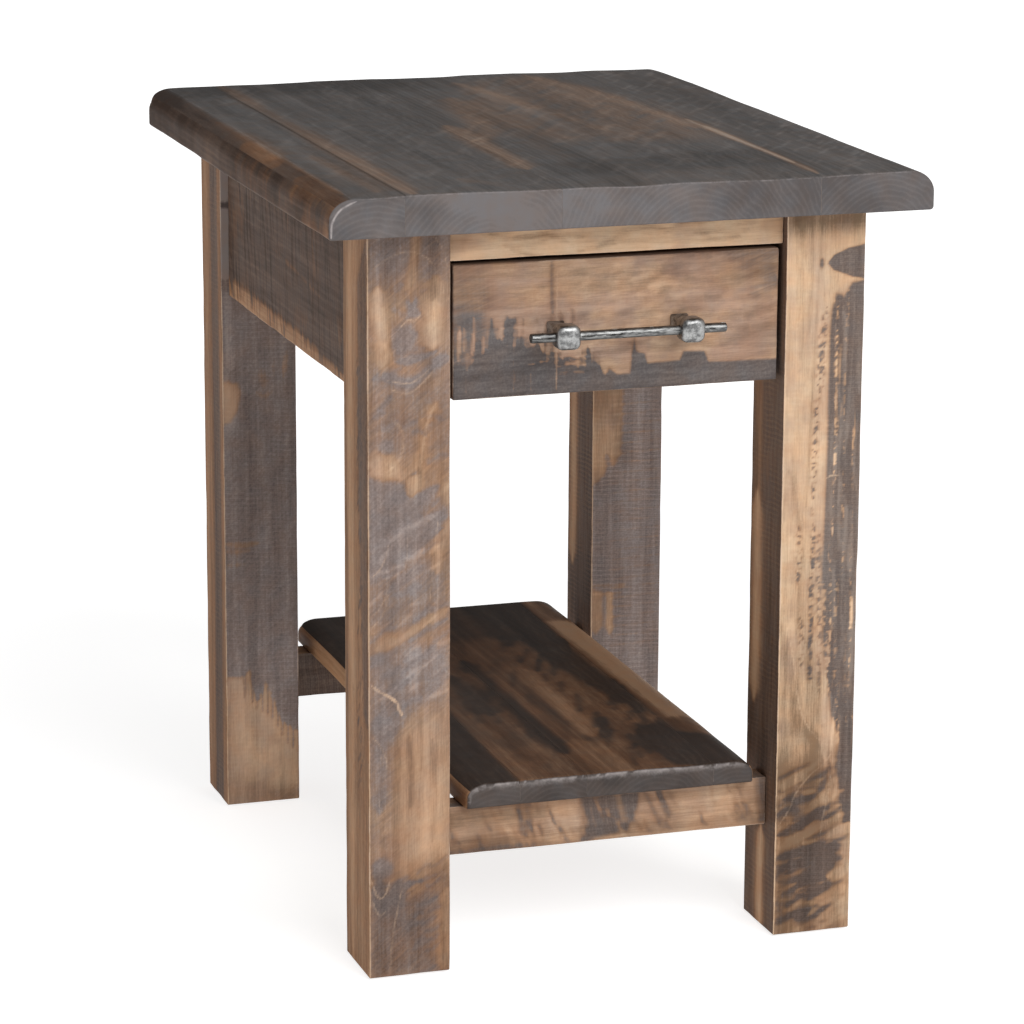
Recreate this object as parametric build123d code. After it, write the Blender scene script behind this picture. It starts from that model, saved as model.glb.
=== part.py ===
from build123d import *
import os

# A side table with one drawer and a low shelf, in millimetres.
# +X is to the right and -Y is the front, as seen by someone facing the drawer.
# The origin is on the floor, under the middle of the table top.

# Overall sizes
table_height = 634.0
top_width = 490.0
top_depth = 604.0
top_thickness = 32.0
frame_width = 409.0
frame_depth = 528.0
leg_width = 67.0

# Table top: the long sides are rounded over, the ends are only eased
top_seams = (-185.0, -61.0, 150.0)
top_side_radius = 18.0
top_under_radius = 3.0
top_end_ease = 1.5

# Aprons, rails and stretchers
board_thickness = 22.0
board_recess = 7.0
board_ease = 1.0
apron_height = 137.0
rail_height = 29.0
rail_recess = 7.5
stretcher_bottom = 90.5
stretcher_height = 40.5
stretcher_thickness = 25.0
leg_ease = 1.2
tenon_thickness = 10.0
tenon_length = 22.0
tenon_shoulder = 5.0
apron_shoulder = 14.0

# Shelf: it lies on the two stretchers, clear of the legs
shelf_width = 245.0
shelf_front = -256.0
shelf_back = 260.0
shelf_thickness = 20.5
shelf_seams = (-77.5, -21.0, 87.0)
shelf_side_radius = 12.0
shelf_under_radius = 2.0
shelf_end_ease = 3.5

# Foot glides: nylon discs on a nail, under each leg
glide_radius = 12.0
glide_height = 1.5
glide_nail_radius = 1.1
glide_nail_length = 16.0

# Drawer: an inset face on a dovetail-height box with a grooved-in bottom
drawer_recess = 7.0
face_width = 268.0
face_bottom = 464.0
face_height = 106.0
face_thickness = 20.0
box_height = 86.0
box_length = 450.0
box_thickness = 12.7
box_rabbet = 6.0
bottom_thickness = 6.0
bottom_groove = 6.0
bottom_lift = 10.0

# Slides: three nested steel channels on each side of the drawer
slide_gap = 12.7
slide_centre_z = 516.0
slide_length = 450.0
slide_steel = 1.2
cabinet_half_height = 22.8
cabinet_depth = 10.5
cabinet_lip = 1.4
middle_offset = 2.4
middle_half_height = 18.0
middle_depth = 7.6
drawer_half_height = 13.2
drawer_depth = 7.7
slide_front_gap = 2.0
ball_radius = 1.6
ball_pitch = 15.0
balls_per_row = 10
cage_margin = 20.0
cage_half_width = 0.9
cage_half_thickness = 0.5

# Slide spacers and top cleats, on the inner faces of the side aprons
spacer_height = 70.0
cleat_size = 20.0
cleat_length = 360.0

# Pull: a bar through two cast posts
pull_z = 515.0
pull_centres = 101.6
bar_length = 160.0
bar_radius = 3.8
bar_end_radius = 1.2
bar_reach = 27.0
post_head = 19.0
post_head_depth = 18.0
post_head_radius = 5.5
post_stem = 11.0
post_stem_radius = 1.5
post_foot = 14.0
post_foot_thickness = 2.0

# Fasteners
screw_head_radius = 4.0
screw_head_height = 2.2
screw_radius = 2.0
screw_head_ease = 0.8
screw_tip = 4.0
screw_bite = 14.0
drive_width = 2.4
drive_depth = 1.3
counterbore_radius = 5.0
slide_screw_length = 16.0
slide_screw_radius = 1.7

# Derived places
leg_top = table_height - top_thickness
leg_outer_x = frame_width / 2
leg_outer_y = frame_depth / 2
leg_inner_x = leg_outer_x - leg_width
leg_inner_y = leg_outer_y - leg_width
leg_centre_x = leg_outer_x - leg_width / 2
leg_centre_y = leg_outer_y - leg_width / 2
apron_bottom = leg_top - apron_height
apron_outer_x = leg_outer_x - board_recess
apron_inner_x = apron_outer_x - board_thickness
face_front = -leg_outer_y + drawer_recess
box_front = face_front + face_thickness
box_back = box_front + box_length
box_outer_x = leg_inner_x - slide_gap
box_inner_x = box_outer_x - box_thickness
box_bottom = slide_centre_z - box_height / 2
shelf_bottom = stretcher_bottom + stretcher_height
shelf_top = shelf_bottom + shelf_thickness
slide_front = box_front + slide_front_gap
bar_y = face_front - bar_reach
rail_front = -leg_outer_y + rail_recess
rail_bottom = leg_top - rail_height


def block(x, y, z):
    """A box between its lowest and highest coordinates on each axis."""
    spans = [sorted(span) for span in (x, y, z)]
    size = [high - low for low, high in spans]
    middle = [(high + low) / 2 for low, high in spans]
    return Pos(*middle) * Box(*size)


def edges_near(shape, axis, x, z):
    """The straight edges along an axis that pass through x and z."""
    near = 0.1
    chosen = shape.edges().filter_by(axis)
    return [e for e in chosen if abs(e.center().X - x) < near and abs(e.center().Z - z) < near]


def on_side(side, shape):
    """A left-hand shape as it is, or mirrored to the right of the table."""
    return shape if side == "left" else mirror(shape, about=Plane.YZ)


def screw(length, radius, flush):
    """A screw along +Z without its drive recess. Its head ends at z = 0 or, if flush, starts there."""
    up = (Align.CENTER, Align.CENTER, Align.MIN)
    down = (Align.CENTER, Align.CENTER, Align.MAX)
    shank = Cylinder(radius, length - screw_tip, align=up)
    tip = Pos(0, 0, length - screw_tip) * Cone(radius, 0.3, screw_tip, align=up)
    if flush:
        head = Cone(screw_head_radius, radius, screw_head_height, align=up)
    else:
        head = Cylinder(screw_head_radius, screw_head_height, align=down)
        head = fillet(head.edges().group_by(Axis.Z)[0], screw_head_ease)
    return head + shank + tip


def fasten(points, direction, length, radius=screw_radius, flush=False):
    """Screws at points, driven along a direction, and the holes that they fill."""
    solid = screw(length, radius, flush)
    head_top = 0.0 if flush else -screw_head_height
    drive = Box(drive_width, drive_width, 2 * drive_depth)
    finished = solid - Pos(0, 0, head_top) * drive
    places = [Plane(origin=point, z_dir=direction).location for point in points]
    return [place * finished for place in places], [place * solid for place in places]


def bored(points, direction, depth):
    """Counterbores that start at points and run along a direction."""
    hole = Cylinder(counterbore_radius, depth, align=(Align.CENTER, Align.CENTER, Align.MIN))
    return [Plane(origin=point, z_dir=direction).location * hole for point in points]


def cut(shape, tools):
    """The shape with every tool's volume removed."""
    for tool in tools:
        shape = shape - tool
    return shape


def make_slab(width, front, back, low, high, side_radius, under_radius, end_ease):
    """A panel whose long sides are rounded over and whose ends are eased on top."""
    slab = block((-width / 2, width / 2), (front, back), (low, high))
    upper = edges_near(slab, Axis.Y, -width / 2, high) + edges_near(slab, Axis.Y, width / 2, high)
    slab = fillet(upper, side_radius)
    lower = edges_near(slab, Axis.Y, -width / 2, low) + edges_near(slab, Axis.Y, width / 2, low)
    slab = fillet(lower, under_radius)
    faces = slab.faces().sort_by(Axis.Y)
    edges = faces[0].edges() + faces[-1].edges()
    rims = [edge for edge in edges if edge.center().Z > high - side_radius]
    return fillet(rims, end_ease)


def make_boards(slab, width, front, back, low, high, seams):
    """The slab ripped along its seams into the boards it is glued from."""
    cuts = (-width, *seams, width)
    return [
        slab & block(span, (front - 1, back + 1), (low - 1, high + 1))
        for span in zip(cuts[:-1], cuts[1:])
    ]


def make_cross_rail(y, z, shoulder):
    """A rail between the left and right legs, with a tenon at each end."""
    body = block((-leg_inner_x, leg_inner_x), y, z)
    body = fillet(body.edges().filter_by(Axis.X), board_ease)
    middle = (y[0] + y[1]) / 2
    reach = leg_inner_x + tenon_length
    tenon = block(
        (-reach, reach),
        (middle - tenon_thickness / 2, middle + tenon_thickness / 2),
        (z[0] + shoulder, z[1] - shoulder),
    )
    return body + tenon


def make_side_apron():
    """The left apron, between the front and rear legs, with a tenon at each end."""
    x = (-apron_outer_x, -apron_inner_x)
    body = block(x, (-leg_inner_y, leg_inner_y), (apron_bottom, leg_top))
    body = fillet(body.edges().filter_by(Axis.Y), board_ease)
    middle = (x[0] + x[1]) / 2
    reach = leg_inner_y + tenon_length
    tenon = block(
        (middle - tenon_thickness / 2, middle + tenon_thickness / 2),
        (-reach, reach),
        (apron_bottom + apron_shoulder, leg_top - apron_shoulder),
    )
    return body + tenon


def make_leg(x, y):
    """A square leg centred on x and y, before its mortises."""
    half = leg_width / 2
    leg = block((x - half, x + half), (y - half, y + half), (glide_height, leg_top))
    return fillet(leg.edges().filter_by(Axis.Z), leg_ease)


def make_glide(x, y):
    """A nylon disc that stands on the floor, with its nail up into the leg."""
    disc = Cylinder(glide_radius, glide_height, align=(Align.CENTER, Align.CENTER, Align.MIN))
    disc = fillet(disc.edges().group_by(Axis.Z)[0], 0.6)
    nail = Cylinder(glide_nail_radius, glide_nail_length, align=(Align.CENTER, Align.CENTER, Align.MIN))
    return Pos(x, y, 0) * (disc + nail)


def make_channel(web, depth, half_height, opens, back, lip=0.0):
    """A steel channel on the left slide: web at x, flanges that open to +X or -X."""
    y = (slide_front, back)
    outline = block((web, web + opens * depth), y, (-half_height, half_height))
    inside = half_height - slide_steel
    hollow = block((web + opens * slide_steel, web + opens * (depth + 1)), y, (-inside, inside))
    channel = outline - hollow
    if lip:
        end = web + opens * depth
        for side in (-1, 1):
            z = (side * inside, side * (inside - lip))
            channel = channel + block((end - opens * slide_steel, end), y, z)
    return Pos(0, 0, slide_centre_z) * channel


def make_ball_rows(x, z, start):
    """Two rows of balls in their retainer strips, above and below the slide's centre."""
    rows = []
    length = ball_pitch * balls_per_row
    for side in (-1, 1):
        row = block(
            (x - cage_half_width, x + cage_half_width),
            (start, start + length),
            (side * z - cage_half_thickness, side * z + cage_half_thickness),
        )
        for number in range(balls_per_row):
            row = row + Pos(x, start + (number + 0.5) * ball_pitch, side * z) * Sphere(ball_radius)
        rows.append(Pos(0, 0, slide_centre_z) * row)
    return rows


def make_drawer_side():
    """The left side of the drawer box, before its rabbets and its groove."""
    side = block(
        (-box_outer_x, -box_inner_x),
        (box_front, box_back),
        (box_bottom, box_bottom + box_height),
    )
    side = fillet(edges_near(side, Axis.Y, -box_inner_x, box_bottom + box_height), board_ease)
    side = fillet(edges_near(side, Axis.Y, -box_outer_x, box_bottom + box_height), board_ease)
    return side


def make_box_end(front):
    """A front or back of the drawer box, let into a rabbet in each side."""
    reach = box_inner_x + box_rabbet
    end = block(
        (-reach, reach),
        (front, front + box_thickness),
        (box_bottom, box_bottom + box_height),
    )
    return fillet(end.edges().filter_by(Axis.X).group_by(Axis.Z)[-1], board_ease)


def make_bottom():
    """The drawer bottom, let into a groove on all four sides."""
    low = box_bottom + bottom_lift
    return block(
        (-box_inner_x - bottom_groove, box_inner_x + bottom_groove),
        (box_front + box_thickness - bottom_groove, box_back - box_thickness + bottom_groove),
        (low, low + bottom_thickness),
    )


def make_bar():
    """The pull's bar, with softly rounded ends."""
    bar = Cylinder(bar_radius, bar_length)
    bar = fillet(bar.edges().filter_by(GeomType.CIRCLE), bar_end_radius)
    return Pos(0, bar_y, pull_z) * Rot(0, 90, 0) * bar


def make_post(x):
    """A cast post: a rounded block round the bar, on a square stem with a foot."""
    head = Box(post_head, post_head_depth, post_head)
    head = Pos(x, bar_y, pull_z) * fillet(head.edges(), post_head_radius)
    stem = Box(post_stem, bar_reach, post_stem, align=(Align.CENTER, Align.MAX, Align.CENTER))
    stem = fillet(stem.edges().filter_by(Axis.Y), post_stem_radius)
    foot = Box(post_foot, post_foot_thickness, post_foot, align=(Align.CENTER, Align.MAX, Align.CENTER))
    foot = fillet(foot.edges().filter_by(Axis.Y), post_stem_radius)
    return head + Pos(x, face_front, pull_z) * (stem + foot)


parts = {}

# Table top and shelf
top_span = (-top_depth / 2, top_depth / 2, leg_top, table_height)
top = make_slab(top_width, *top_span, top_side_radius, top_under_radius, top_end_ease)
top_boards = make_boards(top, top_width, *top_span, top_seams)
shelf_span = (shelf_front, shelf_back, shelf_bottom, shelf_top)
shelf = make_slab(shelf_width, *shelf_span, shelf_side_radius, shelf_under_radius, shelf_end_ease)
shelf_boards = make_boards(shelf, shelf_width, *shelf_span, shelf_seams)

# Frame
apron_left = make_side_apron()
apron_rear_y = (leg_outer_y - board_recess - board_thickness, leg_outer_y - board_recess)
apron_rear = make_cross_rail(apron_rear_y, (apron_bottom, leg_top), apron_shoulder)
rail_y = (rail_front, rail_front + board_thickness)
rail_front_top = make_cross_rail(rail_y, (rail_bottom, leg_top), tenon_shoulder)
stretchers = [
    make_cross_rail(
        (y - stretcher_thickness / 2, y + stretcher_thickness / 2),
        (stretcher_bottom, shelf_bottom),
        tenon_shoulder,
    )
    for y in (-leg_centre_y, leg_centre_y)
]
legs = {
    "leg_front_left": (-leg_centre_x, -leg_centre_y),
    "leg_front_right": (leg_centre_x, -leg_centre_y),
    "leg_rear_left": (-leg_centre_x, leg_centre_y),
    "leg_rear_right": (leg_centre_x, leg_centre_y),
}
glides = [make_glide(x, y) for x, y in legs.values()]
rails = [apron_left, on_side("right", apron_left), apron_rear, rail_front_top, *stretchers]
# Cleats that hold the top, and the spacers that carry the slides
cleat_left = block(
    (-apron_inner_x, -apron_inner_x + cleat_size),
    (-cleat_length / 2, cleat_length / 2),
    (leg_top - cleat_size, leg_top),
)
spacer_left = block(
    (-apron_inner_x, -leg_inner_x),
    (-leg_inner_y, leg_inner_y),
    (slide_centre_z - spacer_height / 2, slide_centre_z + spacer_height / 2),
)

# Slides
cabinet_back = slide_front + slide_length
cabinet_left = make_channel(
    -leg_inner_x, cabinet_depth, cabinet_half_height, 1, cabinet_back, cabinet_lip
)
middle_left = make_channel(
    -leg_inner_x + middle_offset, middle_depth, middle_half_height, 1, cabinet_back
)
runner_left = make_channel(-box_outer_x, drawer_depth, drawer_half_height, -1, cabinet_back)
outer_race_z = (cabinet_half_height - slide_steel + middle_half_height) / 2
inner_race_z = (middle_half_height - slide_steel + drawer_half_height) / 2
cage_length = ball_pitch * balls_per_row
outer_race_x = -leg_inner_x + middle_offset + middle_depth / 2
inner_race_x = -box_outer_x - drawer_depth + 2 * ball_radius
ball_rows = make_ball_rows(outer_race_x, outer_race_z, cabinet_back - cage_margin - cage_length)
ball_rows += make_ball_rows(inner_race_x, inner_race_z, slide_front + cage_margin)

# Screws that hold the top: up through the cleats and the front rail
cleat_x = apron_inner_x - cleat_size / 2
cleat_points = [
    (side * cleat_x, y, leg_top - cleat_size) for side in (-1, 1) for y in (-150, -50, 50, 150)
]
top_screws, top_holes = fasten(cleat_points, (0, 0, 1), cleat_size + screw_bite)
rail_bore_depth = 12.0
rail_points = [(x, rail_front + board_thickness / 2, rail_bottom) for x in (-90, 90)]
rail_bores = bored(rail_points, (0, 0, 1), rail_bore_depth)
raised = [(x, y, z + rail_bore_depth) for x, y, z in rail_points]
rail_screws, rail_holes = fasten(raised, (0, 0, 1), rail_height - rail_bore_depth + screw_bite)
top_screws += rail_screws
top_holes += rail_holes

# Screws that hold the cleats and the spacers to the side aprons, and the slides to the frame
cleat_screws, cleat_holes = [], []
spacer_screws, spacer_holes, spacer_bores = [], [], []
cabinet_screws, cabinet_holes = [], []
runner_screws, runner_holes = [], []
spacer_bore_depth = 6.0
spacer_screw_length = apron_inner_x - leg_inner_x - spacer_bore_depth + screw_bite
spacer_screw_rise = spacer_height / 2 - 6
for side in (-1, 1):
    outward = (side, 0, 0)
    inward = (-side, 0, 0)
    points = [
        (side * (apron_inner_x - cleat_size), y, leg_top - cleat_size / 2) for y in (-100, 0, 100)
    ]
    screws, holes = fasten(points, outward, cleat_size + screw_bite)
    cleat_screws += screws
    cleat_holes += holes
    points = [
        (side * leg_inner_x, y, slide_centre_z + rise)
        for y in (-150, 150)
        for rise in (-spacer_screw_rise, spacer_screw_rise)
    ]
    spacer_bores += bored(points, outward, spacer_bore_depth)
    sunk = [(x + side * spacer_bore_depth, y, z) for x, y, z in points]
    screws, holes = fasten(sunk, outward, spacer_screw_length)
    spacer_screws += screws
    spacer_holes += holes
    points = [
        (side * (leg_inner_x - slide_steel), y, slide_centre_z) for y in (-215, -60, 90, 205)
    ]
    screws, holes = fasten(points, outward, slide_screw_length, flush=True)
    cabinet_screws += screws
    cabinet_holes += holes
    points = [(side * (box_outer_x + slide_steel), y, slide_centre_z) for y in (-200, 0, 190)]
    screws, holes = fasten(points, inward, slide_steel + 11, slide_screw_radius)
    runner_screws += screws
    runner_holes += holes

# Screws up through the stretchers into the shelf
shelf_bore_depth = 18.0
shelf_points = [(x, y, stretcher_bottom) for x in (-50, 50) for y in (-leg_centre_y, leg_centre_y)]
shelf_bores = bored(shelf_points, (0, 0, 1), shelf_bore_depth)
raised = [(x, y, z + shelf_bore_depth) for x, y, z in shelf_points]
shelf_screws, shelf_holes = fasten(raised, (0, 0, 1), stretcher_height - shelf_bore_depth + 13)

# Drawer
drawer_face = block(
    (-face_width / 2, face_width / 2),
    (face_front, box_front),
    (face_bottom, face_bottom + face_height),
)
drawer_face = fillet(drawer_face.faces().sort_by(Axis.Y)[0].edges(), board_ease)
bottom = make_bottom()
box_ends = [make_box_end(box_front), make_box_end(box_back - box_thickness)]

# Pull, and the screws through the drawer's front
bar = make_bar()
pull_x = (-pull_centres / 2, pull_centres / 2)
pull_points = [(x, box_front + box_thickness, pull_z) for x in pull_x]
pull_screw_length = box_thickness + face_thickness + 9
pull_screws, pull_holes = fasten(pull_points, (0, -1, 0), pull_screw_length)
face_points = [
    (x, box_front + box_thickness, slide_centre_z + rise) for x in (-90, 90) for rise in (-15, 28)
]
face_screws, face_holes = fasten(face_points, (0, -1, 0), box_thickness + screw_bite)

# Every piece, with the holes and joints that its neighbours need
for number, board in enumerate(top_boards, start=1):
    parts[f"top_board_{number}"] = cut(board, top_holes)
for number, board in enumerate(shelf_boards, start=1):
    parts[f"shelf_board_{number}"] = cut(board, shelf_holes)
for name, (x, y) in legs.items():
    parts[name] = cut(make_leg(x, y), [*rails, *glides, *cabinet_holes])
parts["apron_rear"] = apron_rear
parts["rail_front_top"] = cut(rail_front_top, rail_bores + rail_holes)
parts["stretcher_front"] = cut(stretchers[0], shelf_bores + shelf_holes)
parts["stretcher_rear"] = cut(stretchers[1], shelf_bores + shelf_holes)
for side in ("left", "right"):
    apron = on_side(side, apron_left)
    spacer = on_side(side, spacer_left)
    parts[f"apron_{side}"] = cut(apron, cleat_holes + spacer_holes)
    parts[f"top_cleat_{side}"] = cut(on_side(side, cleat_left), top_holes + cleat_holes)
    parts[f"slide_spacer_{side}"] = cut(spacer, spacer_bores + spacer_holes + cabinet_holes)
    parts[f"slide_cabinet_member_{side}"] = cut(on_side(side, cabinet_left), cabinet_holes)
    parts[f"slide_middle_member_{side}"] = on_side(side, middle_left)
    parts[f"slide_drawer_member_{side}"] = cut(on_side(side, runner_left), runner_holes)
    parts[f"slide_ball_rows_{side}"] = Compound([on_side(side, row).solid() for row in ball_rows])
    drawer_side = on_side(side, make_drawer_side())
    parts[f"drawer_side_{side}"] = cut(drawer_side, [bottom, *box_ends, *runner_holes])
for side, x in zip(("left", "right"), pull_x):
    parts[f"pull_post_{side}"] = cut(make_post(x), [bar, *pull_holes])
parts["pull_bar"] = bar
parts["drawer_face"] = cut(drawer_face, pull_holes + face_holes)
parts["drawer_box_front"] = cut(box_ends[0], [bottom, *pull_holes, *face_holes])
parts["drawer_box_back"] = cut(box_ends[1], [bottom])
parts["drawer_bottom"] = bottom

groups = {
    "foot_glides": glides,
    "top_screws": top_screws,
    "cleat_screws": cleat_screws,
    "spacer_screws": spacer_screws,
    "shelf_screws": shelf_screws,
    "slide_cabinet_screws": cabinet_screws,
    "slide_drawer_screws": runner_screws,
    "drawer_face_screws": face_screws,
    "pull_screws": pull_screws,
}
for name, pieces in groups.items():
    parts[name] = Compound([piece.solid() for piece in pieces])

os.makedirs("parts", exist_ok=True)
for name, shape in parts.items():
    export_step(shape, f"parts/{name}.step")
print(len(parts), "nodes")
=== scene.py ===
import itertools
import math

import bpy
import numpy as np
from mathutils import Matrix, Vector


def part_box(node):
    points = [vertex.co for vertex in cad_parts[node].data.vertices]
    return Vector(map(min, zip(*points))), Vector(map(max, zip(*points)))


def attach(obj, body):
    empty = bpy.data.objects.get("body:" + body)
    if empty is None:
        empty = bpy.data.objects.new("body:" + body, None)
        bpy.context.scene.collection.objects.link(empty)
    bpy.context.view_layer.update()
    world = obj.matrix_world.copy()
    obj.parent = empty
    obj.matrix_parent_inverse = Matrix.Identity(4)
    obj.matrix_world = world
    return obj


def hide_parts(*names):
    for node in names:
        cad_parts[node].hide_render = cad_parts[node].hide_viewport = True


# A rustic side table with one drawer. Lengths are in millimetres, in the CAD frame, until a mesh
# or a light is made: +X is right, -Y is the front, +Z is up.
MM = 0.001
AXES = "xyz"

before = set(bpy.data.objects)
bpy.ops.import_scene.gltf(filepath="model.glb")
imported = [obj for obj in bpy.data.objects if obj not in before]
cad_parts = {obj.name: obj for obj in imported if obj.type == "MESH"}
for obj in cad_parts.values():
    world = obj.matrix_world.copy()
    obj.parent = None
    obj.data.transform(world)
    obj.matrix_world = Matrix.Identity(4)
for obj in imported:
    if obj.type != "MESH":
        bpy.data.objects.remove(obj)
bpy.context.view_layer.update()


def box(node):
    """Lowest and highest corner of a CAD node, in millimetres."""
    low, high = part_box(node)
    return np.array(low) / MM, np.array(high) / MM


# ---------------------------------------------------------------- noise on points

# Large odd numbers that scatter the bits of a noise cell's place.
HASH_FACTORS = np.array([374761393, 668265263, 974634777])
HASH_MIX = 1274126177


def value_noise(points, seed):
    """Smooth noise from -1 to 1, at points given in units of its cells."""
    cell = np.floor(points).astype(np.int64)
    part = points - cell
    part = part * part * (3 - 2 * part)
    total = np.zeros(len(points))
    for corner in itertools.product((0, 1), repeat=3):
        at = cell + corner
        code = (at @ HASH_FACTORS + seed * HASH_MIX) & 0xFFFFFFFF
        code = ((code ^ (code >> 13)) * HASH_MIX) & 0xFFFFFFFF
        value = ((code ^ (code >> 16)) & 0xFFFF) / 32767.5 - 1
        weight = np.prod(np.where(corner, part, 1 - part), axis=1)
        total += weight * value
    return total


def layered_noise(points, size, seed, layers=3):
    """Several octaves of noise whose largest cells are size wide (one number or three)."""
    total = np.zeros(len(points))
    for layer in range(layers):
        total += value_noise(points * 2 ** layer / np.array(size), seed + layer) / 2 ** layer
    return total


# ---------------------------------------------------------------- board meshes

# The spacing of a board's points at its rounded edges, and how fast it grows away from them.
FINE_STEP = 0.5
STEP_GROWTH = 1.35


def half_marks(length, step, band):
    """Distances from 0 to length: fine apart inside the band, then growing to step."""
    marks = [0.0]
    gap = FINE_STEP
    while marks[-1] < length:
        if marks[-1] >= band:
            gap = min(step, gap * STEP_GROWTH)
        marks.append(marks[-1] + gap)
    return np.array(marks) * length / marks[-1]


def grid_marks(half, step, bands):
    """Grid lines from -half to half, finer near both ends."""
    left = half_marks(half, step, bands[0]) - half
    right = half - half_marks(half, step, bands[1])
    return np.concatenate([left, right[::-1][1:]])


def rounded(u, v, inset, half, corners, flush):
    """Moves points of a rectangle onto its rounded outline, drawn in by inset. The sides of v in flush, -1
    or 1, are glued to another board, and aren't drawn in."""
    u = u * (half[0] - inset) / half[0]
    reach = {side: half[1] - (0 if side in flush else inset) for side in (-1, 1)}
    v = np.where(v < 0, v * reach[-1], v * reach[1]) / half[1]
    for (side_u, side_v), (radius_u, radius_v) in corners.items():
        radius_u = max(radius_u - inset, 0.05)
        radius_v = max(radius_v - (0 if side_v in flush else inset), 0.05)
        centre_u = side_u * (half[0] - inset - radius_u)
        centre_v = side_v * (reach[side_v] - radius_v)
        a = (u - centre_u) * side_u / radius_u
        b = (v - centre_v) * side_v / radius_v
        inside = (a > 0) & (b > 0)
        pull = np.maximum(a, b) / np.maximum(np.hypot(a, b), 1e-9)
        u = np.where(inside, centre_u + side_u * a * pull * radius_u, u)
        v = np.where(inside, centre_v + side_v * b * pull * radius_v, v)
    return u, v


def cross_axes(axis):
    """The numbers of the two axes across an axis, and of the axis itself."""
    w = AXES.index(axis)
    return (w + 1) % 3, (w + 2) % 3, w


def outline(marks_u, marks_v, half):
    """Points round a rectangle, anticlockwise from its low corner."""
    sides = len(marks_v) - 2
    ends = len(marks_u)
    ring_u = [marks_u, np.full(sides, half[0]), marks_u[::-1], np.full(sides, -half[0])]
    ring_v = [np.full(ends, -half[1]), marks_v[1:-1], np.full(ends, half[1]), marks_v[1:-1][::-1]]
    return np.concatenate(ring_u), np.concatenate(ring_v)


def border_numbers(n_u, n_v):
    """Which point of the outline each border point of a grid is, and -1 for those inside it."""
    border = np.full((n_u, n_v), -1)
    border[:, 0] = np.arange(n_u)
    border[-1, 1:-1] = n_u + np.arange(n_v - 2)
    border[:, -1] = (n_u + n_v - 2 + np.arange(n_u))[::-1]
    border[0, 1:-1] = (2 * n_u + n_v - 2 + np.arange(n_v - 2))[::-1]
    return border


def grain_stations(half, ease, step):
    """Places along the grain, and how far the outline is drawn in at each, to round both ends."""
    turns = np.linspace(0, math.pi / 2, 5)
    start = (ease * (1 - np.cos(turns)) - half)[:-1]
    insets = (ease * (1 - np.sin(turns)))[:-1]
    middle = grid_marks(half - ease, step, (0, 0))
    stations = np.concatenate([start, middle, -start[::-1]])
    return stations, np.concatenate([insets, np.zeros(len(middle)), insets[::-1]])


def ring_walls(count, around):
    """The faces between neighbours of count rings, each of around points."""
    index = np.arange(around)
    following = np.roll(index, -1)
    walls = []
    for number in range(count - 1):
        here, there = number * around, (number + 1) * around
        walls.append(np.column_stack([here + index, here + following, there + following, there + index]))
    return walls


def board(name, low, high, axis, ease, step=2.2, corners=None, end_ease=None, flush=()):
    """A board from low to high whose grain runs along an axis, as a dense closed mesh with rounded edges.
    corners gives the radii of single long edges, by the signs of the two cross axes."""
    low, high = np.array(low, float), np.array(high, float)
    u, v, w = cross_axes(axis)
    half = (high - low) / 2
    half_uv = (half[u], half[v])
    end_ease = ease if end_ease is None else end_ease
    radii = {signs: (ease, ease) for signs in itertools.product((-1, 1), repeat=2)}
    radii.update(corners or {})
    marks_u = grid_marks(half[u], step, [max(radii[s, t][0] for t in (-1, 1)) for s in (-1, 1)])
    marks_v = grid_marks(half[v], step, [max(radii[s, t][1] for s in (-1, 1)) for t in (-1, 1)])
    ring_u, ring_v = outline(marks_u, marks_v, half_uv)
    around = len(ring_u)
    stations, insets = grain_stations(half[w], end_ease, step)
    rings = []
    for place, inset in zip(stations, insets):
        at_u, at_v = rounded(ring_u, ring_v, inset, half_uv, radii, flush)
        rings.append(np.column_stack([at_u, at_v, np.full(around, place)]))
    points = np.concatenate(rings)
    faces = ring_walls(len(rings), around)
    grid_u, grid_v = np.meshgrid(marks_u, marks_v, indexing="ij")
    cap_u, cap_v = rounded(grid_u.ravel(), grid_v.ravel(), end_ease, half_uv, radii, flush)
    border = border_numbers(len(marks_u), len(marks_v))
    inner = np.flatnonzero(border.ravel() < 0)
    for place, base, flip in ((stations[0], 0, True), (stations[-1], (len(rings) - 1) * around, False)):
        ids = border.ravel() + base
        ids[inner] = len(points) + np.arange(len(inner))
        cap = np.column_stack([cap_u[inner], cap_v[inner], np.full(len(inner), place)])
        points = np.concatenate([points, cap])
        ids = ids.reshape(border.shape)
        quads = np.stack([ids[:-1, :-1], ids[1:, :-1], ids[1:, 1:], ids[:-1, 1:]], axis=-1).reshape(-1, 4)
        faces.append(quads[:, ::-1] if flip else quads)
    where = np.empty_like(points)
    where[:, u], where[:, v], where[:, w] = points.T
    return make_object(name, where + (high + low) / 2, np.concatenate(faces))


def make_object(name, points, faces):
    """A smooth-shaded mesh object from points in millimetres."""
    mesh = bpy.data.meshes.new(name)
    mesh.from_pydata((points * MM).tolist(), [], faces if isinstance(faces, list) else faces.tolist())
    mesh.update()
    mesh.polygons.foreach_set("use_smooth", np.ones(len(mesh.polygons), bool))
    made = bpy.data.objects.new(name, mesh)
    bpy.context.scene.collection.objects.link(made)
    return made


def points_of(piece):
    """A mesh's vertices in millimetres, and their normals."""
    count = len(piece.data.vertices)
    places = np.empty(count * 3)
    normals = np.empty(count * 3)
    piece.data.vertices.foreach_get("co", places)
    piece.data.vertex_normals.foreach_get("vector", normals)
    return places.reshape(-1, 3) / MM, normals.reshape(-1, 3)


def move_points(piece, places):
    """Puts a mesh's vertices at places given in millimetres."""
    piece.data.vertices.foreach_set("co", (places * MM).ravel())
    piece.data.update()


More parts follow.
